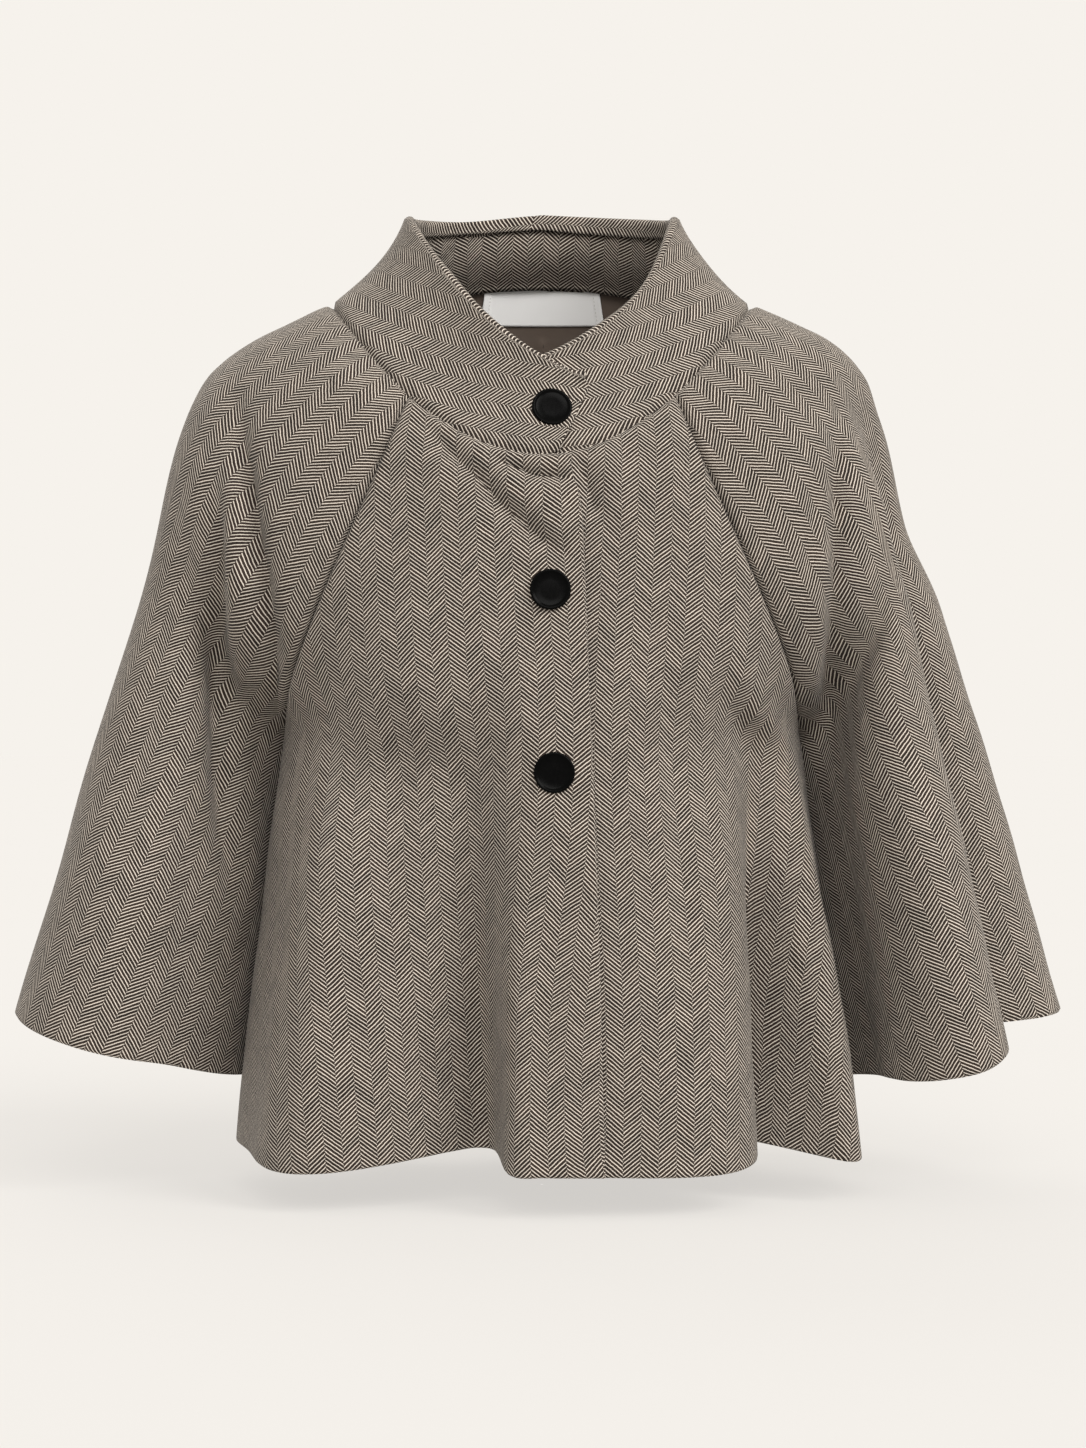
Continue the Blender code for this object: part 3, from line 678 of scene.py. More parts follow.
def even_grid(shape, u_range=(0.0, 1.0)):
    rows, columns = shape
    t, u = crossed(np.linspace(0, 1, rows), np.linspace(*u_range, columns))
    return u, t


def through(rows, shares):
    """A cubic through a grid's rows, at shares of the way down it."""
    at = shares * (len(rows) - 1)
    first = np.clip(at.astype(int), 0, len(rows) - 2)
    s = (at - first)[:, None, None]
    slopes = np.gradient(rows, axis=0)
    rise = s * s * (3 - 2 * s)
    leave = s * (1 - s) ** 2
    arrive = s * s * (s - 1)
    between = rows[first] * (1 - rise) + rows[first + 1] * rise
    return between + leave * slopes[first] + arrive * slopes[first + 1]


def pinned(points, edges, t):
    """A panel with the ends of its rows moved onto its seams, so that neighbours share their edges."""
    ends = distances(points, 1)
    for column, seam_of in edges.items():
        hold = 1 - ease(ends[column] / PIN_REACH)
        points = points + (seam_of(t[:, :1]) - points[:, [-column]]) * hold[..., None]
    return points


def cloth_surface(panel, surface, side_of, edges, u, t, u_range):
    """A panel's face with its folds: a smooth surface through the points of its solid."""
    solid_u, solid_t = even_grid((SOLID_ROWS, SOLID_COLUMNS[panel.split("_")[0]]), u_range)
    solid = dressed(panel, surface(solid_u, solid_t), solid_u, solid_t, side_of)
    low, high = u_range
    rows = through(solid, t[:, 0])
    points = through(rows.swapaxes(0, 1), (u[0] - low) / (high - low)).swapaxes(0, 1)
    return ironed(pinned(points, edges, t), t)


def ironed(points, t):
    """A panel smoothed near the underarm, where its seams turn, with its edges held."""
    near = np.minimum(*distances(points, 1))
    share = IRON_SHARE * np.exp(-(((t - UNDERARM) / IRON_REACH) ** 2)) * ease(near / FOLD_FADE)
    for _ in range(IRON_ROUNDS):
        beside = (points[:-2, 1:-1] + points[2:, 1:-1] + points[1:-1, :-2] + points[1:-1, 2:]) / 4
        points[1:-1, 1:-1] += (beside - points[1:-1, 1:-1]) * share[1:-1, 1:-1, None]
    return points


def sunk(distance):
    """How far cloth is drawn in at a seam, as a share."""
    return np.exp(-((distance / SEAM_REACH) ** 2))


def rounding(distance, thickness):
    """How far each face of a free edge rounds in towards the middle of the cloth."""
    share = 1 - np.clip(distance / EDGE_ROUND, 0, 1)
    return thickness / 2 * (1 - np.sqrt(1 - share**2))


def shell_faces(points, side_of, seams, lap=False):
    """The outer and inner face of a panel, with its seams sunk, its free edges round and its hem doubled.

    seams names the sewn sides among start, end and top; the rest are free edges."""
    normals = outward(points, side_of)
    start, end = distances(points, 1)
    top, bottom = distances(points, 0)
    thickness = CLOTH + HEM_DOUBLE * (1 - ease((bottom - HEM_DOUBLE_REACH) / SEAM_REACH))
    if lap:
        doubled = CLOTH + LAP_DOUBLE * (1 - ease((start - LAP_DOUBLE_REACH) / SEAM_REACH))
        thickness = np.maximum(thickness, doubled)
    sides = {"start": start, "end": end, "top": top, "bottom": bottom}
    rise = SEAM_DIP * np.prod([1 - sunk(sides[name]) for name in seams], axis=0)
    free = [rounding(away, thickness) for name, away in sides.items() if name not in seams]
    edge = np.max(free, axis=0)
    outer = points + normals * (rise - edge)[..., None]
    inner = points - normals * (thickness - rise - edge)[..., None]
    return outer, inner


# Cut of the cloth: each panel laid flat, in metres, with v along the ribs

def flat_cut(points, grain_at, grain):
    """A panel laid flat: its grid's places on the uncut cloth, turned so that the grain runs along v."""
    mesh = grid_mesh("cut", points)
    mesh.uv_layers.new(name="cut")
    made = bpy.data.objects.new("cut", mesh)
    bpy.context.scene.collection.objects.link(made)
    bpy.context.view_layer.objects.active = made
    bpy.ops.object.mode_set(mode="EDIT")
    bpy.ops.mesh.select_all(action="SELECT")
    bpy.ops.uv.unwrap(method="MINIMUM_STRETCH", iterations=CUT_ROUNDS, margin=0.0)
    bpy.ops.object.mode_set(mode="OBJECT")
    loops = np.empty(len(mesh.loops), np.int32)
    mesh.loops.foreach_get("vertex_index", loops)
    places = np.empty(2 * len(mesh.loops), np.float32)
    mesh.uv_layers["cut"].data.foreach_get("uv", places)
    flat = np.empty((points.shape[0] * points.shape[1], 2))
    flat[loops] = places.reshape(-1, 2)
    flat = flat.reshape(*points.shape[:2], 2)
    bpy.data.objects.remove(made)
    bpy.data.meshes.remove(mesh)
    return turned(flat * math.sqrt(area(points) / abs(area(flat))), points, grain_at, grain)


def area(points):
    """The area of a grid in three dimensions, or in two."""
    across = points[1:, 1:] - points[:-1, :-1]
    down = points[1:, :-1] - points[:-1, 1:]
    if points.shape[-1] == 2:
        return np.sum(across[..., 0] * down[..., 1] - across[..., 1] * down[..., 0]) / 2
    return np.sum(np.linalg.norm(np.cross(across, down), axis=-1)) / 2


def turned(flat, points, grain_at, grain):
    """A flat cut turned so that a direction in space, at one place of the panel, runs along v."""
    row = int(grain_at[1] * (points.shape[0] - 1))
    column = int(grain_at[0] * (points.shape[1] - 1))
    steps = np.stack([np.gradient(points, axis=a)[row, column] for a in (0, 1)], axis=1)
    moves = np.stack([np.gradient(flat, axis=a)[row, column] for a in (0, 1)], axis=1)
    share = np.linalg.lstsq(steps, np.array(grain), rcond=None)[0]
    along = moves @ share
    along = along / np.linalg.norm(along)
    return np.stack([flat @ np.array((along[1], -along[0])), flat @ along], axis=-1)


def spaced(count):
    """Every few rows of a grid, with its last."""
    return np.unique(np.append(np.arange(0, count, CUT_STEP), count - 1))


def spread_over(values, across, down, u, t):
    """Values of a coarser grid at the places of a finer one."""
    rows = np.array([np.interp(u, across, row) for row in values])
    return np.array([np.interp(t, down, column) for column in rows.T]).T


def cut_places(points, u, t, grain_at, grain):
    """Where each point of a panel's face lies on the flat cloth."""
    rows, columns = spaced(len(t)), spaced(len(u))
    flat = flat_cut(points[np.ix_(rows, columns)], grain_at, grain)
    return np.stack([spread_over(flat[..., k], u[columns], t[rows], u, t) for k in (0, 1)], axis=-1)


def averaged(values, axis):
    """Values averaged over a wide stretch of their rows or columns."""
    half = TAKE_UP_SPREAD // 2
    window = np.ones(2 * half + 1) / (2 * half + 1)

    def smear(line):
        return np.convolve(np.pad(line, half, mode="edge"), window, mode="valid")

    return np.apply_along_axis(smear, axis, values)


def taken_up(cut, plain, outer):
    """A cut moved along its rows and columns by the cloth that creases take up, dying out beyond them."""
    for axis in (0, 1):
        extra = distances(outer, axis)[0] - distances(plain, axis)[0]
        near = extra - averaged(extra, axis)
        cut = cut + unit(np.gradient(cut, axis=axis)) * near[..., None]
    return cut


# Meshes

def quads_of(corner):
    quads = np.stack([corner[:-1, :-1], corner[1:, :-1], corner[1:, 1:], corner[:-1, 1:]], axis=-1)
    return quads.reshape(-1, 4)


def grid_mesh(name, points):
    mesh = bpy.data.meshes.new(name)
    corner = np.arange(points.shape[0] * points.shape[1]).reshape(points.shape[:2])
    mesh.from_pydata(points.reshape(-1, 3).tolist(), [], quads_of(corner).tolist())
    return mesh


def border_of(corner):
    """The indices round the border of a grid, in order."""
    return np.concatenate([corner[0, :-1], corner[:-1, -1], corner[-1, :0:-1], corner[:0:-1, 0]])


def linked(name, mesh):
    made = bpy.data.objects.new(name, mesh)
    bpy.context.scene.collection.objects.link(made)
    return made


def cloth_shell(name, outer, inner, cut, materials):
    """A closed shell of cloth between two grids, with its place on the flat cloth as UVs."""
    front = np.arange(outer.shape[0] * outer.shape[1]).reshape(outer.shape[:2])
    back = front + front.size
    ring, back_ring = border_of(front), border_of(back)
    rim = np.stack([ring, np.roll(ring, -1), np.roll(back_ring, -1), back_ring], axis=-1)
    faces = [quads_of(front), rim[:, ::-1], quads_of(back)[:, ::-1]]
    mesh = bpy.data.meshes.new(name)
    corners = np.concatenate([outer.reshape(-1, 3), inner.reshape(-1, 3)])
    mesh.from_pydata(corners.tolist(), [], np.concatenate(faces).tolist())
    kinds = np.concatenate([np.full(len(f), k) for f, k in zip(faces, (0, 0, 1))])
    mesh.polygons.foreach_set("material_index", kinds.astype(np.int32))
    shape = bmesh.new()
    shape.from_mesh(mesh)
    bmesh.ops.recalc_face_normals(shape, faces=shape.faces)
    shape.to_mesh(mesh)
    shape.free()
    loops = np.empty(len(mesh.loops), np.int32)
    mesh.loops.foreach_get("vertex_index", loops)
    places = np.tile(cut.reshape(-1, 2), (2, 1))[loops]
    mesh.uv_layers.new(name="cut").data.foreach_set("uv", places.astype(np.float32).ravel())
    mesh.shade_smooth()
    for finish in materials:
        mesh.materials.append(finish)
    return linked(name, mesh)


def stitches(name, starts, ends, radius, finish):
    """Thread: one small rounded bar for each stitch."""
    shape = bmesh.new()
    for start, end in zip(starts, ends):
        run = Vector(end) - Vector(start)
        middle = (Vector(start) + Vector(end)) / 2
        place = Matrix.Translation(middle) @ run.to_track_quat("Z", "Y").to_matrix().to_4x4()
        size = Matrix.Diagonal((radius, radius, run.length / 2 + radius / 2, 1.0))
        bmesh.ops.create_uvsphere(
            shape, u_segments=STITCH_SIDES, v_segments=STITCH_SIDES, radius=1.0, matrix=place @ size
        )
    mesh = bpy.data.meshes.new(name)
    shape.to_mesh(mesh)
    shape.free()
    mesh.shade_smooth()
    mesh.materials.append(finish)
    made = linked(name, mesh)
    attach(made, "root")


def turned_solid(name, profile, where, normal, finish):
    """A shape turned from a profile of radius and height, seated on a surface."""
    mesh = bpy.data.meshes.new(name)
    shape = bmesh.new()
    corners = [shape.verts.new((r, 0.0, z)) for r, z in profile]
    for first, second in zip(corners, corners[1:]):
        shape.edges.new((first, second))
    bmesh.ops.spin(
        shape, geom=shape.verts[:] + shape.edges[:], axis=(0, 0, 1), cent=(0, 0, 0),
        angle=2 * math.pi, steps=BUTTON_STEPS, use_merge=True,
    )
    bmesh.ops.remove_doubles(shape, verts=shape.verts[:], dist=MERGE_WITHIN)
    bmesh.ops.recalc_face_normals(shape, faces=shape.faces)
    shape.to_mesh(mesh)
    shape.free()
    mesh.shade_smooth()
    mesh.materials.append(finish)
    made = linked(name, mesh)
    made.matrix_world = Matrix.Translation(where) @ normal.to_track_quat("Z", "Y").to_matrix().to_4x4()
    return made


# Materials

class Graph:
    """A material's nodes: each call adds one and gives back its result."""

    def __init__(self, name):
        self.material = bpy.data.materials.new(name)
        self.material.use_nodes = True
        self.tree = self.material.node_tree
        self.shader = self.tree.nodes["Principled BSDF"]

    def put(self, socket, value):
        if isinstance(value, bpy.types.NodeSocket):
            self.tree.links.new(value, socket)
        else:
            socket.default_value = value

    def add(self, kind, inputs=(), **settings):
        made = self.tree.nodes.new(kind)
        for key, value in settings.items():
            setattr(made, key, value)
        for key, value in dict(inputs).items():
            self.put(made.inputs[key], value)
        return made

    def math(self, operation, *values):
        return self.add("ShaderNodeMath", dict(enumerate(values)), operation=operation).outputs[0]

    def noise(self, vector, scale, detail=2.0):
        inputs = {"Vector": vector, "Scale": scale, "Detail": detail}
        return self.add("ShaderNodeTexNoise", inputs).outputs["Fac"]

    def waves(self, vector, direction, **inputs):
        inputs = {"Vector": vector, **inputs}
        return self.add("ShaderNodeTexWave", inputs, bands_direction=direction).outputs["Fac"]

    def ranged(self, value, base, spread):
        """A value from 0 to 1, brought to a base and a spread above it."""
        return self.math("ADD", base, self.math("MULTIPLY", value, spread))

    def wobble(self, vector, scale, height):
        """Noise about zero, of a height."""
        return self.math("MULTIPLY", self.math("SUBTRACT", self.noise(vector, scale), 0.5), 2 * height)

    def step(self, value, low, high):
        inputs = {"Value": value, "From Min": low, "From Max": high}
        made = self.add("ShaderNodeMapRange", inputs, interpolation_type="SMOOTHSTEP")
        return made.outputs["Result"]

    def mix(self, share, first, second):
        made = self.add("ShaderNodeMix", {0: share, 6: first, 7: second}, data_type="RGBA")
        return made.outputs[2]

    def tone(self, colour, brightness):
        """A colour made lighter or darker."""
        made = self.add("ShaderNodeVectorMath", {0: colour, "Scale": brightness}, operation="SCALE")
        return made.outputs[0]

    def bump(self, height, distance, strength=1.0):
        made = self.add("ShaderNodeBump", {"Height": height, "Distance": distance, "Strength": strength})
        self.put(self.shader.inputs["Normal"], made.outputs[0])

    def finish(self, **values):
        for name, value in values.items():
            self.put(self.shader.inputs[name.replace("_", " ")], value)
        return self.material


def rgba(colour):
    return (*colour, 1.0)


def wool():
    """Herringbone: ribs of slanting light and dark lines whose slant turns at each rib."""
    g = Graph("wool_herringbone")
    cut = g.add("ShaderNodeUVMap", uv_map="cut").outputs[0]
    place = g.add("ShaderNodeSeparateXYZ", {0: cut})
    across = g.math("ADD", place.outputs[0], g.wobble(cut, scale=45.0, height=0.0007))
    along = g.math("ADD", place.outputs[1], g.wobble(cut, scale=210.0, height=0.0004))
    rib = g.math("DIVIDE", across, RIB)
    number = g.math("FLOOR", rib)
    inside = g.math("SUBTRACT", rib, number)
    slant = g.math("PINGPONG", rib, 1.0)
    shifted = g.math("MULTIPLY", g.math("FLOORED_MODULO", number, 2.0), 0.5)
    down = g.math("ADD", g.math("DIVIDE", along, LINE), shifted)
    line = g.math("ADD", down, g.math("MULTIPLY", slant, RIB * SLOPE / LINE))
    yarn = g.math("FLOOR", line)
    profile = g.math("PINGPONG", line, 0.5)
    fuzz = g.noise(cut, scale=1500.0, detail=3.0)
    ragged = g.math("ADD", profile, g.math("MULTIPLY", g.math("SUBTRACT", fuzz, 0.5), FUZZ_SHARE))
    light = g.step(ragged, low=0.315, high=0.405)
    each = g.add("ShaderNodeCombineXYZ", {0: yarn, 1: number}).outputs[0]
    varied = g.add("ShaderNodeTexWhiteNoise", {"Vector": each}, noise_dimensions="2D").outputs["Value"]
    tone = g.ranged(varied, base=0.86, spread=0.26)
    blotch = g.ranged(g.noise(cut, scale=22.0), base=0.92, spread=0.16)
    turn = g.math("PINGPONG", inside, 0.5)
    crossing = g.ranged(g.step(turn, low=0.0, high=0.07), base=0.82, spread=0.18)
    pale = g.tone(YARN_LIGHT, g.math("MULTIPLY", tone, g.math("MULTIPLY", blotch, crossing)))
    dark = g.tone(YARN_DARK, g.math("ADD", DARK_TONE, varied))
    relief = g.math("ADD", g.math("MULTIPLY", light, LIGHT_RELIEF), g.math("MULTIPLY", fuzz, FUZZ_RELIEF))
    g.bump(relief, distance=0.0004, strength=0.5)
    return g.finish(
        Base_Color=g.mix(light, dark, pale), Roughness=0.92, Sheen_Weight=0.05, Sheen_Roughness=0.5,
        Specular_IOR_Level=0.2,
    )


def satin():
    """Brown lining: a fine close weave with a soft sheen."""
    g = Graph("satin_brown")
    cut = g.add("ShaderNodeUVMap", uv_map="cut").outputs[0]
    threads = g.waves(cut, "X", Scale=420.0, Distortion=1.5, Detail=2.0)
    blotch = g.ranged(g.noise(cut, scale=30.0), base=0.85, spread=0.3)
    rough = g.ranged(g.noise(cut, scale=160.0), base=0.34, spread=0.16)
    g.bump(threads, distance=0.00008, strength=0.4)
    colour = g.tone(SATIN_BROWN, blotch)
    return g.finish(Base_Color=colour, Roughness=rough, Sheen_Weight=0.12, Anisotropic=0.4)


def woven_label():
    """White woven ribbon with fine cross threads."""
    g = Graph("label_woven_white")
    cut = g.add("ShaderNodeUVMap", uv_map="cut").outputs[0]
    threads = g.waves(cut, "Y", Scale=500.0, Distortion=0.6)
    rough = g.ranged(g.noise(cut, scale=300.0), base=0.42, spread=0.15)
    g.bump(threads, distance=0.00006, strength=0.35)
    colour = g.tone(LABEL_TINT, g.ranged(threads, base=0.94, spread=0.06))
    return g.finish(Base_Color=colour, Roughness=rough, Sheen_Weight=0.1)


def gloss_black():
    """Moulded button: black and polished, with a faint haze."""
    g = Graph("button_gloss_black")
    place = g.add("ShaderNodeTexCoord").outputs["Object"]
    haze = g.noise(place, scale=420.0, detail=4.0)
    colour = g.mix(haze, rgba(BUTTON_DARK), rgba(BUTTON_DULL))
    g.bump(haze, distance=0.00002, strength=0.2)
    rough = g.ranged(haze, base=0.16, spread=0.14)
    return g.finish(Base_Color=colour, Roughness=rough, Specular_IOR_Level=0.03)


def thread(name, colour):
    """Sewing thread: a twisted strand."""
    g = Graph(name)
    place = g.add("ShaderNodeTexCoord").outputs["Object"]
    twist = g.noise(place, scale=2600.0, detail=2.0)
    g.bump(twist, distance=0.0001, strength=0.5)
    shaded = g.tone(colour, g.ranged(twist, base=0.75, spread=0.5))
    return g.finish(Base_Color=shaded, Roughness=0.7, Sheen_Weight=0.15)


def paper():
    """Floor: pale, matt, hardly mottled, and lit from within as on a light table."""
    g = Graph("paper_pale")
    place = g.add("ShaderNodeTexCoord").outputs["Object"]
    shade = g.ranged(g.noise(place, scale=3.0), base=0.985, spread=0.03)
    return g.finish(
        Base_Color=g.tone(PAPER, shade), Roughness=0.9, Specular_IOR_Level=0.0,
        Emission_Color=rgba(PAPER_GLOW), Emission_Strength=1.0,
    )


WOOL = wool()
SATIN = satin()
LABEL_WHITE = woven_label()
BUTTON_BLACK = gloss_black()
HOLE_THREAD = thread("thread_taupe", THREAD_TAUPE)
WHITE_THREAD = thread("thread_white", THREAD_WHITE)
BROWN_THREAD = thread("thread_brown", THREAD_BROWN)


# Pieces


def joined_to_part(piece, node):
    """Hangs a piece of cloth under the root body, and hides the part that it stands for."""
    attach(piece, "root")
    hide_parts(node)


def creased(panel, points, side_of, seams):
    """A panel's face with its creases and unevenness, which die out at its seams."""
    normals = outward(points, side_of)
    sides = dict(zip(("start", "end"), distances(points, 1)))
    sides["top"] = distances(points, 0)[0]
    held = np.prod([ease(sides[name] / SEAM_PUFF_REACH) for name in seams], axis=0)
    move = crease_depth(panel, points, normals) + unevenness(points)
    return points + normals * (move * held)[..., None]


def wool_panel(panel, surface, shape, side_of, edges, grain_at, grain, u_range=(0.0, 1.0), lap=False):
    """One wool panel of the body or a sleeve; gives back the points of its face."""
    u, t = fine_grid(shape, u_range)
    seams = [("start", "end")[column] for column in edges] + ["top"]
    plain = cloth_surface(panel, surface, side_of, edges, u, t, u_range)
    points = creased(panel, plain, side_of, seams)
    outer, inner = shell_faces(points, side_of, seams, lap)
    cut = taken_up(cut_places(plain, u[0], t[:, 0], grain_at, grain), plain, outer)
    piece = cloth_shell(f"{panel}_cloth", outer, inner, cut, (WOOL, SATIN))
    joined_to_part(piece, panel)
    return points


def fronts():
    """Both fronts; gives back the lapping one's points, for its buttons."""
    faces = {}
    for side, panel in ((WEARER_LEFT, "front_left"), (WEARER_RIGHT, "front_right")):
        surface = lambda u, t, side=side: front_surface(u, t, side)
        edges = {1: lambda t, side=side: seam("front", "side", t, side)}
        faces[panel] = wool_panel(
            panel, surface, FRONT_GRID, AXIS, edges, FRONT_GRAIN_AT, UPRIGHT, lap=side == WEARER_RIGHT
        )
    return faces["front_right"]


def sleeves():
    """Both sleeves, whose ribs lean in towards the neck."""
    for side, panel in ((WEARER_LEFT, "sleeve_left"), (WEARER_RIGHT, "sleeve_right")):
        surface = lambda u, t, side=side: sleeve_surface(u, t, side)
        edges = {
            0: lambda t, side=side: seam("front", "sleeve", t, side),
            1: lambda t, side=side: seam("back", "sleeve", t, side),
        }
        grain = (-side * math.cos(SLEEVE_GRAIN), 0, math.sin(SLEEVE_GRAIN))
        wool_panel(panel, surface, SLEEVE_GRID, SLEEVE_CORES[side], edges, SLEEVE_GRAIN_AT, grain)


def back():
    """The back, one piece between its raglan seams."""
    edges = {
        0: lambda t: seam("back", "side", t, WEARER_RIGHT),
        1: lambda t: seam("back", "side", t, WEARER_LEFT),
    }
    wool_panel("back", back_surface, BACK_GRID, AXIS, edges, BACK_GRAIN_AT, UPRIGHT, u_range=(-1.0, 1.0))


def collar_angle(share, v):
    """The angle round the collar at a share of its length, with the corner of the tab cut round."""
    corner = np.clip((v - TAB_CORNER_STARTS) / (1 - TAB_CORNER_STARTS), 0, 1)
    start = COLLAR_LAP_BOTTOM + (COLLAR_LAP_TOP - COLLAR_LAP_BOTTOM) * v - TAB_CORNER * corner**2
    return start + (-2 * math.pi - COLLAR_UNDER - start) * share


def collar_reach(angle):
    """How far up the collar reaches against its solid: less at the sides and the V, more at the nape."""
    at_back = np.maximum(-np.cos(angle), 0)
    at_front = np.maximum(np.cos(angle), 0)
    drop = TOP_SIDE_DROP * np.sin(angle) ** 2 + TOP_FRONT_DROP * at_front**TOP_FRONT_POWER
    return 1 - drop + TOP_BACK_LIFT * at_back**2


def collar_cut(outside, v, shares, middle):
    """The collar's cloth: each half laid flat, with its ribs rising outwards from its front end."""
    halves = []
    for part, grain_at, rise in (
        (slice(None, middle), COLLAR_RIGHT_GRAIN_AT, -COLLAR_GRAIN_RISE),
        (slice(middle, None), COLLAR_LEFT_GRAIN_AT, COLLAR_GRAIN_RISE),
    ):
        halves.append(cut_places(outside[:, part], np.sort(shares[part]), v[:, 0], grain_at, (1, 0, rise)))
    return np.concatenate(halves, axis=1)


def rolled_rows(outside, normals, angle):
    """The rows beyond the collar's top edge: over a soft roll, then a little way down the inside."""
    out = evened(normals[-1])
    up = evened(unit(outside[-1] - outside[-2]))
    radius = ROLL_RADIUS * (1 - ROLL_THINNER * ease(2 * np.cos(angle[-1])))[:, None]
    middle = outside[-1] - out * radius
    turns = np.append(ROLL_STARTS, np.linspace(0, math.pi, ROLL_STEPS + 1)[1:])
    roll = [middle + radius * (out * math.cos(turn) + up * math.sin(turn)) for turn in turns]
    strip = [roll[-1] - up * down for down in np.linspace(0, ROLL_STRIP, STRIP_STEPS + 1)[1:]]
    return np.stack(roll + strip)


def collar_faces(points, normals, from_back, standing):
    """The outer and inner face of the collar, whose first standing rows are its outside."""
    start, end = distances(points, 1)
    low = distances(points, 0)[0]
    rolled = np.clip((np.arange(len(points)) - standing + 1) / ROLL_STEPS, 0, 1)[:, None]
    wall = np.where(rolled > 0, COLLAR_WALL, COLLAR_STAND)
    edge = np.maximum(rounding(start, wall), rounding(end, wall))
    rise = SEAM_DIP * (1 - sunk(low)) * (1 - rolled) + STRIP_RISE * rolled
    rise = rise - CENTRE_DIP * sunk(from_back) * (1 - rolled) + TAB_LIFT * (1 - ease(start / TAB_LIFT_REACH))
    outer = points + normals * (rise - edge)[..., None]
    inner = points - normals * (wall - rise - edge)[..., None]
    return outer, inner


def collar():
    """The collar, up the outside and over its roll; gives back its outside, for the top button."""
    rows, columns = COLLAR_GRID
    halves = graded(columns, EDGE_DOWN)
    shares = np.concatenate([halves * (0.5 - COLLAR_JOIN), 1 - halves[::-1] * (0.5 - COLLAR_JOIN)])
    v, share = crossed(graded(rows, EDGE_ACROSS), shares)
    angle = collar_angle(share, v)
    outside = collar_surface(angle, v * collar_reach(angle))
    normals = outward(outside, NAPE)
    points = np.concatenate([outside, rolled_rows(outside, normals, angle)])
    normals = np.concatenate([normals, outward(points, NAPE)[len(outside) :]])
    points = points + normals * unevenness(points)[..., None]
    start = distances(points, 1)[0]
    low = distances(points, 0)[0]
    along = start - start[:, [len(halves)]]
    from_back = np.abs(along)
    outer, inner = collar_faces(points, normals, from_back, len(outside))
    beyond = (low - low[len(outside) - 1])[len(outside) :]
    roll_cut = np.stack([beyond, from_back[len(outside) :]], axis=-1)
    cut = np.concatenate([collar_cut(outside, v, shares, len(halves)), roll_cut])
    piece = cloth_shell("collar_cloth", outer, inner, cut, (WOOL, WOOL))
    joined_to_part(piece, "collar")
    return outside


def evened(row):
    """Unit vectors along an edge, averaged over their neighbours."""
    reach = CORNER_SMOOTH // 2
    padded = np.pad(row, ((reach, reach), (0, 0)), mode="edge")
    return unit(np.stack([padded[k : k + len(row)] for k in range(CORNER_SMOOTH)]).mean(axis=0))


def collar_facing():
    """The inner collar, whose upright ribs mirror each other at the centre back."""
    rows, columns = FACING_GRID
    v, angle = crossed(np.linspace(FACING_LOW, 1.0, rows), np.linspace(FACING_FROM, FACING_TO, columns))
    outside = collar_surface(angle, v * collar_reach(angle))
    normals = outward(outside, NAPE)
    up = unit(outside[-1] - outside[0])
    lowered = outside - up[None] * (FACING_TUCK * ease(v))[..., None]
    shown = lowered - normals * FACING_DEPTH
    shown = shown - normals * unevenness(shown)[..., None]
    low, high = distances(shown, 0)
    shown = shown + normals * (FACING_SINK * sunk(high) - FACING_LIP * sunk(low))[..., None]
    behind = shown + normals * FACING_WALL
    start, end = distances(shown, 1)
    cut = np.stack([(start - end) / 2, low], axis=-1)
    piece = cloth_shell("collar_facing_cloth", shown, behind, cut, (WOOL, WOOL))
    joined_to_part(piece, "collar_facing")


def lining_face(u, t):
    """The lining's shown face on the inside of the back."""
    points = dressed("back", back_surface(u, t), u, t, AXIS)
    normals = outward(points, AXIS)
    below_label = ease((LABEL_LOW - points[..., 2]) / PLEAT_WIDTH)
    pleat = PLEAT_DEPTH * below_label * np.exp(-((points[..., 0] / PLEAT_WIDTH) ** 2))
    return points - normals * (CLOTH + LINING + 2 * SEAM_GAP + pleat)[..., None], normals


def back_lining():
    """The satin inside the back, with its pleat; gives back its shown face, for the pleat's stitches."""
    rows, columns = LINING_GRID
    t, u = crossed(np.linspace(LINING_TOP, LINING_LOW, rows), np.linspace(-LINING_HALF, LINING_HALF, columns))
    shown, normals = lining_face(u, t)
    behind = shown + normals * LINING
    start, end = distances(shown, 1)
    cut = np.stack([(start - end) / 2, distances(shown, 0)[0]], axis=-1)
    piece = cloth_shell("back_lining_satin", shown, behind, cut, (SATIN, SATIN))
    joined_to_part(piece, "back_lining")
    return shown


def place_on(points, normals, x, z):
    """The nearest point of a grid to a place seen from the front or the back, with its normal."""
    away = (points[..., 0] - x) ** 2 + (points[..., 2] - z) ** 2
    nearest = np.unravel_index(np.argmin(away), away.shape)
    return points[nearest], normals[nearest]


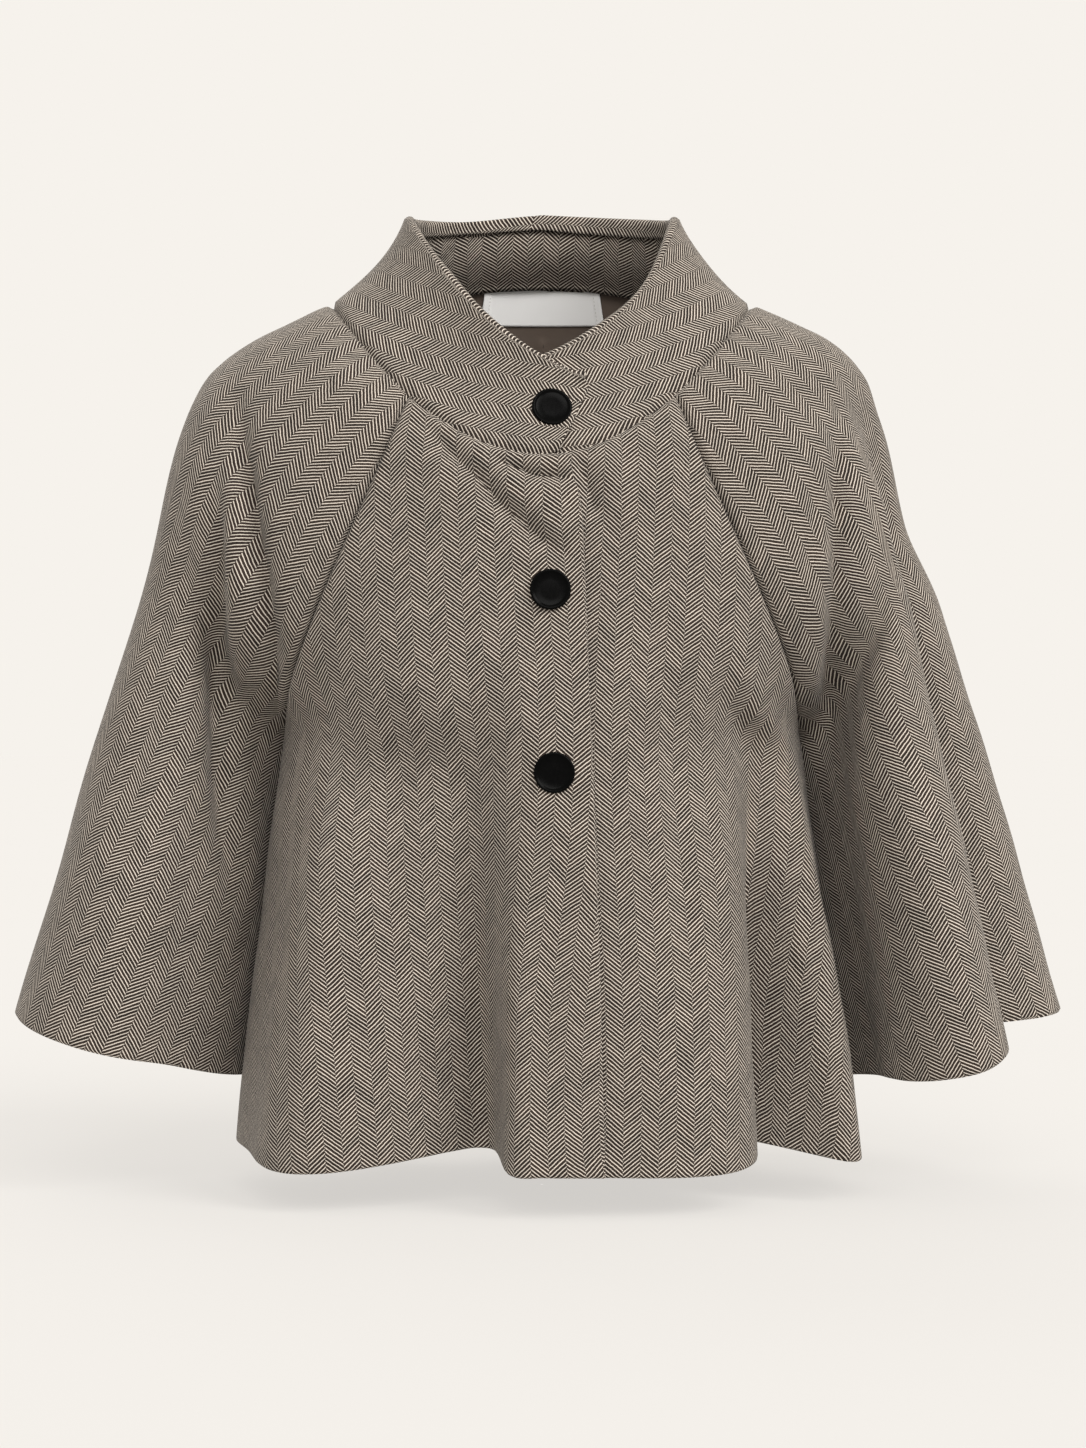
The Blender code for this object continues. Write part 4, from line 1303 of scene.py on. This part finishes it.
def label():
    """The bare label on the lining, its ends folded under and stitched down."""
    rows, columns = LABEL_GRID
    t_of_z = np.linspace(0.0, LABEL_SEARCH, LABEL_SEARCH_STEPS)
    z_of_t = centre("back_z", t_of_z)
    z, share = crossed(np.linspace(LABEL_HIGH, LABEL_LOW, rows), np.linspace(-1, 1, columns))
    t = np.interp(-z, -z_of_t, t_of_z)
    row = lining_face(*even_line(LABEL_ROW))[0][0]
    along = np.insert(np.cumsum(np.linalg.norm(np.diff(row, axis=0), axis=-1)), 0, 0.0)
    u = np.interp(share * LABEL_HALF, along - along[-1] / 2, np.linspace(-1, 1, len(row)))
    base, normals = lining_face(u, t)
    from_end = LABEL_HALF * (1 - np.abs(share))
    lift = LABEL_WALL + SEAM_GAP + LABEL_FOLD_LIFT * (1 - ease((from_end - LABEL_FOLD) / LABEL_WALL))
    shown = base - normals * lift[..., None]
    behind = base - normals * SEAM_GAP
    cut = np.stack([share * LABEL_HALF, z], axis=-1)
    piece = cloth_shell("label_ribbon", shown, behind, cut, (LABEL_WHITE, LABEL_WHITE))
    joined_to_part(piece, "label")
    label_stitches(shown)


def even_line(t):
    """One row of the back, as a grid of two rows."""
    u = np.linspace(-1, 1, LABEL_ROW_STEPS)
    return np.stack([u, u]), np.full((2, LABEL_ROW_STEPS), t) + np.array((0.0, LABEL_ROW_GAP))[:, None]


def label_stitches(shown):
    """A row of short stitches down each end of the label."""
    rows, columns = shown.shape[:2]
    inset = int(columns * LABEL_FOLD / (2 * LABEL_HALF))
    starts, ends = [], []
    for column in (inset, columns - 1 - inset):
        for row in range(1, rows - 2, 2):
            starts.append(shown[row, column])
            ends.append(shown[row + 1, column])
    stitches("label_stitches", starts, ends, STITCH_RADIUS, WHITE_THREAD)


def pleat_stitches(shown):
    """The tacking that holds the pleat of the lining, down the centre back."""
    middle = shown.shape[1] // 2
    below = shown[:, middle, 2] < LABEL_LOW - PLEAT_WIDTH
    line = shown[below, middle][:PLEAT_STITCHES]
    stitches("pleat_stitches", line[:-1:2], line[1::2], STITCH_RADIUS, BROWN_THREAD)


def button(node):
    """One button, where the part has it, facing as the cloth under it does."""
    low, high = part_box(node)
    middle = (low + high) / 2
    corners = np.array([corner.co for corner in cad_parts[node].data.vertices])
    spread = np.linalg.svd(corners - corners.mean(axis=0), full_matrices=False)[2]
    normal = Vector(spread[-1])
    if normal.y > 0:
        normal = -normal
    reach = (corners - np.array(middle)) @ np.array(normal)
    seat = middle + normal * (float(reach.min()) + BUTTON_SEAT)
    made = turned_solid(f"{node}_turned", BUTTON_PROFILE, seat, normal, BUTTON_BLACK)
    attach(made, "root")
    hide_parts(node)
    return middle


def buttonhole(name, points, side_of, x, z):
    """A worked buttonhole under a button: two lips of close stitches."""
    normals = outward(points, side_of)
    starts, ends = [], []
    for step in np.arange(-HOLE_LENGTH * HOLE_BEFORE, HOLE_LENGTH * HOLE_AFTER, HOLE_PITCH):
        for lip in (-1, 1):
            first, up = place_on(points, normals, x + step, z + lip * HOLE_LIP * LIP_STARTS)
            second, up_too = place_on(points, normals, x + step, z + lip * HOLE_LIP * LIP_ENDS)
            slope = unit(second - first) if np.any(second != first) else np.array((0, 0, lip))
            starts.append(first + up * STITCH_RADIUS)
            ends.append(first + slope * HOLE_LIP * LIP_STITCH + up_too * STITCH_RADIUS)
    stitches(name, starts, ends, STITCH_RADIUS * LIP_THREAD, HOLE_THREAD)


# Studio

def studio():
    """A pale floor under an even pale sky, with wide soft light from the front right, front and back."""
    turns = np.linspace(0, 2 * math.pi, FLOOR_STEPS + 1)
    rings = np.array([[(r * math.sin(a), r * math.cos(a), FLOOR_Z) for a in turns] for r in FLOOR_RINGS])
    mesh = grid_mesh("floor", rings)
    mesh.materials.append(paper())
    linked("floor", mesh)
    for name, (toward, spread, power) in SUNS.items():
        sun(name, toward, spread, power)
    world = bpy.data.worlds.new("studio")
    bpy.context.scene.world = world
    world.use_nodes = True
    sky = world.node_tree.nodes["Background"]
    sky.inputs["Color"].default_value = rgba(SKY)
    sky.inputs["Strength"].default_value = 1.0


def sun(name, toward, spread, power):
    """Even light from a direction, softened by how wide the sun is."""
    light = bpy.data.lights.new(name, "SUN")
    light.energy = power
    light.angle = spread
    light.color = WARM
    made = bpy.data.objects.new(name, light)
    bpy.context.scene.collection.objects.link(made)
    made.rotation_euler = Vector(toward).to_track_quat("Z", "Y").to_euler()


def camera():
    """The photograph's view: level, from straight in front."""
    lens = bpy.data.cameras.new("camera")
    lens.sensor_width = SENSOR
    lens.lens = SENSOR * -CAMERA_AT[1] / VIEW_HEIGHT
    made = bpy.data.objects.new("camera", lens)
    bpy.context.scene.collection.objects.link(made)
    made.location = CAMERA_AT
    made.rotation_euler = (math.pi / 2, 0.0, 0.0)
    bpy.context.scene.camera = made
    bpy.context.scene.view_settings.view_transform = "Standard"


camera()
lapping = fronts()
back()
sleeves()
collar_outside = collar()
collar_facing()
lining = back_lining()
label()
pleat_stitches(lining)
collar_lap = collar_outside[:, : collar_outside.shape[1] // 2]
for node, cloth, side_of in (
    ("button_top", collar_lap, NAPE), ("button_middle", lapping, AXIS), ("button_bottom", lapping, AXIS)
):
    spot = button(node)
    buttonhole(f"{node}_hole", cloth, side_of, spot.x, spot.z)
studio()
